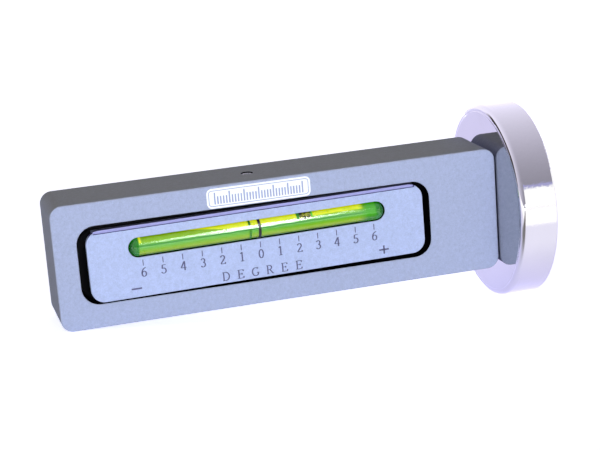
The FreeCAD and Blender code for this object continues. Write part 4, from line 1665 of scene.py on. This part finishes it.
@dataclass(frozen=True)
class Studio:
    """The studio round the object: white low in front with a violet fringe, mauve above it, lilac behind.

    A dark skirting runs behind it on the side away from the magnet. The camera sees only white. Spans
    are parts of the direction in which something lies, where 1 is straight that way.
    """

    front: Triple = (0.4226, -0.9063, 0.0)
    wall_front: Colour = (0.477, 0.458, 0.572)
    wall_behind: Colour = (1.664, 1.594, 2.0)
    skirting: Colour = (0.10, 0.085, 0.07)
    skirting_top: Span = (0.46, 0.38)
    skirting_side: Span = (-0.45, -0.6)
    skirting_front: Span = (-0.3, -0.5)
    open_front: Span = (-0.1, 0.3)
    open_slant: float = 0.344
    open_side: Span = (-0.04, 0.0)
    fringe: Colour = (0.68, 0.67, 1.15)
    fringe_top: Span = (0.42, 0.385)
    low: Colour = (1.92, 1.92, 1.95)
    low_top: Span = (0.37, 0.31)
    backdrop: Colour = (1.0, 1.0, 1.0)
    light_front: Colour = (1.1, 1.12, 1.2)
    light_behind: Colour = (0.42, 0.34, 0.20)
    light_above: Colour = (0.17, 0.13, 0.025)
    above_start: Span = (0.15, 0.5)

    def build(self) -> None:
        """Builds the studio as the scene's world."""
        world = bpy.data.worlds.new("studio")
        bpy.context.scene.world = world
        world.use_nodes = True
        nodes = Nodes(world.node_tree)
        output = nodes.add("OutputWorld")
        direction = nodes.add("TexCoord").outputs["Generated"]
        parts = nodes.split(direction)
        facing = nodes.add("VectorMath", {0: direction, 1: self.front}, operation="DOT_PRODUCT")
        ahead = facing.outputs["Value"]
        behind = nodes.product(nodes.math("SUBTRACT", 1.0, ahead), 0.5)

        wall = nodes.mix(behind, self.wall_front, self.wall_behind)
        skirting = nodes.product(nodes.band(parts["Z"], *self.skirting_top),
                                 nodes.band(parts["X"], *self.skirting_side),
                                 nodes.band(ahead, *self.skirting_front))
        wall = nodes.mix(skirting, wall, self.skirting)
        rightward = nodes.math("MULTIPLY_ADD", parts["Y"], self.open_slant, parts["X"])
        opening = nodes.product(nodes.band(ahead, *self.open_front), nodes.band(rightward, *self.open_side))
        fringe = nodes.product(nodes.band(parts["Z"], *self.fringe_top), opening)
        wall = nodes.mix(fringe, wall, self.fringe)
        low = nodes.product(nodes.band(parts["Z"], *self.low_top), opening)
        mirrored = nodes.mix(low, wall, self.low)
        shown = nodes.mix(nodes.add("LightPath").outputs["Is Camera Ray"], mirrored, self.backdrop)

        around = nodes.mix(behind, self.light_front, self.light_behind)
        lighting = nodes.mix(nodes.band(parts["Z"], *self.above_start), around, self.light_above)
        colour = nodes.mix(nodes.seen(), lighting, shown)
        nodes.put(output.inputs[0], nodes.add("Background", {"Color": colour}).outputs[0])


@dataclass(frozen=True)
class Viewpoint:
    """Where the photograph was taken, found from the object's own edges; lengths are in millimetres."""

    lens: float = 101.89
    sensor_width: float = 36.0
    place: Triple = (-218.4, -533.1, 144.45)
    forward: Triple = (0.24452, 0.93615, -0.25266)
    upright: Triple = (0.13718, 0.22455, 0.96476)

    def build(self) -> None:
        """Puts the camera there."""
        camera = bpy.data.cameras.new("camera")
        camera.lens = self.lens
        camera.sensor_width = self.sensor_width
        holder = bpy.data.objects.new("camera", camera)
        bpy.context.scene.collection.objects.link(holder)
        forward = Vector(self.forward).normalized()
        right = forward.cross(Vector(self.upright)).normalized()
        up = right.cross(forward)
        turn = Matrix((right, up, -forward)).transposed()
        holder.matrix_world = Matrix.Translation(Vector(self.place) * MM) @ turn.to_4x4()
        bpy.context.scene.camera = holder


@dataclass
class Stage:
    """Floor, light and camera.

    The floor is tilted, because the magnet is taller than the bar. Both rest on it by their rounded
    lower edges, whose radii are bar_corner and magnet_edge.
    """

    bar_corner: float = 4.0 * MM
    magnet_edge: float = 1.8 * MM
    floor_reach: float = 6.0
    object_middle: float = -90.0 * MM

    def floor_normal(self) -> tuple[Vector, float]:
        """The floor under the magnet's back edge and the bar's far end.

        Returns:
            Its upward normal, and how far below the origin it lies along that normal.
        """
        bar_low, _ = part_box("body_bar")
        cup_low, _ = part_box("magnet_cup")
        bar = Vector((bar_low.x + self.bar_corner, 0, bar_low.z + self.bar_corner))
        cup = Vector((cup_low.x + self.magnet_edge, 0, cup_low.z + self.magnet_edge))
        run, rise = cup.x - bar.x, bar.z - cup.z
        drop = self.bar_corner - self.magnet_edge
        tilt = math.atan2(rise, run) - math.asin(drop / math.hypot(rise, run))
        normal = Vector((math.sin(tilt), 0, math.cos(tilt)))
        return normal, cup.dot(normal) - self.magnet_edge

    def build(self) -> None:
        """Builds floor, world, lamps and camera."""
        normal, depth = self.floor_normal()
        tilt = Vector((0, 0, 1)).rotation_difference(normal)
        self._floor(normal * depth, tilt)
        Studio().build()
        for lamp in LAMPS:
            lamp.hang(Vector((self.object_middle, 0, 0)), tilt)
        Viewpoint().build()
        view = bpy.context.scene.view_settings
        view.view_transform = "Standard"

    def _floor(self, centre: Vector, tilt: Quaternion) -> None:
        """Lays the floor.

        Args:
            centre: The place of its own origin.
            tilt: Its tilt.
        """
        mesh = bpy.data.meshes.new("floor")
        reach = self.floor_reach
        corners = [(-reach, -reach), (reach, -reach), (reach, reach), (-reach, reach)]
        mesh.from_pydata([(x, y, 0) for x, y in corners], [], [(0, 1, 2, 3)])
        floor = bpy.data.objects.new("floor", mesh)
        bpy.context.scene.collection.objects.link(floor)
        floor.matrix_world = Matrix.Translation(centre) @ tilt.to_matrix().to_4x4()
        mesh.materials.append(FloorCard().build())


def main() -> None:
    """Builds the gauge's looks and the stage."""
    logging.basicConfig(level=logging.INFO, format="%(message)s")
    palette = Palette()
    insert = InsertFrame.from_joints(frame["joints"])
    Bar(palette).build(insert.origin.x)
    PotMagnet(palette).build()
    TiltingInsert(palette, insert).build()
    LockScrew(palette).build()
    Stage().build()


if __name__ == "__main__":
    main()
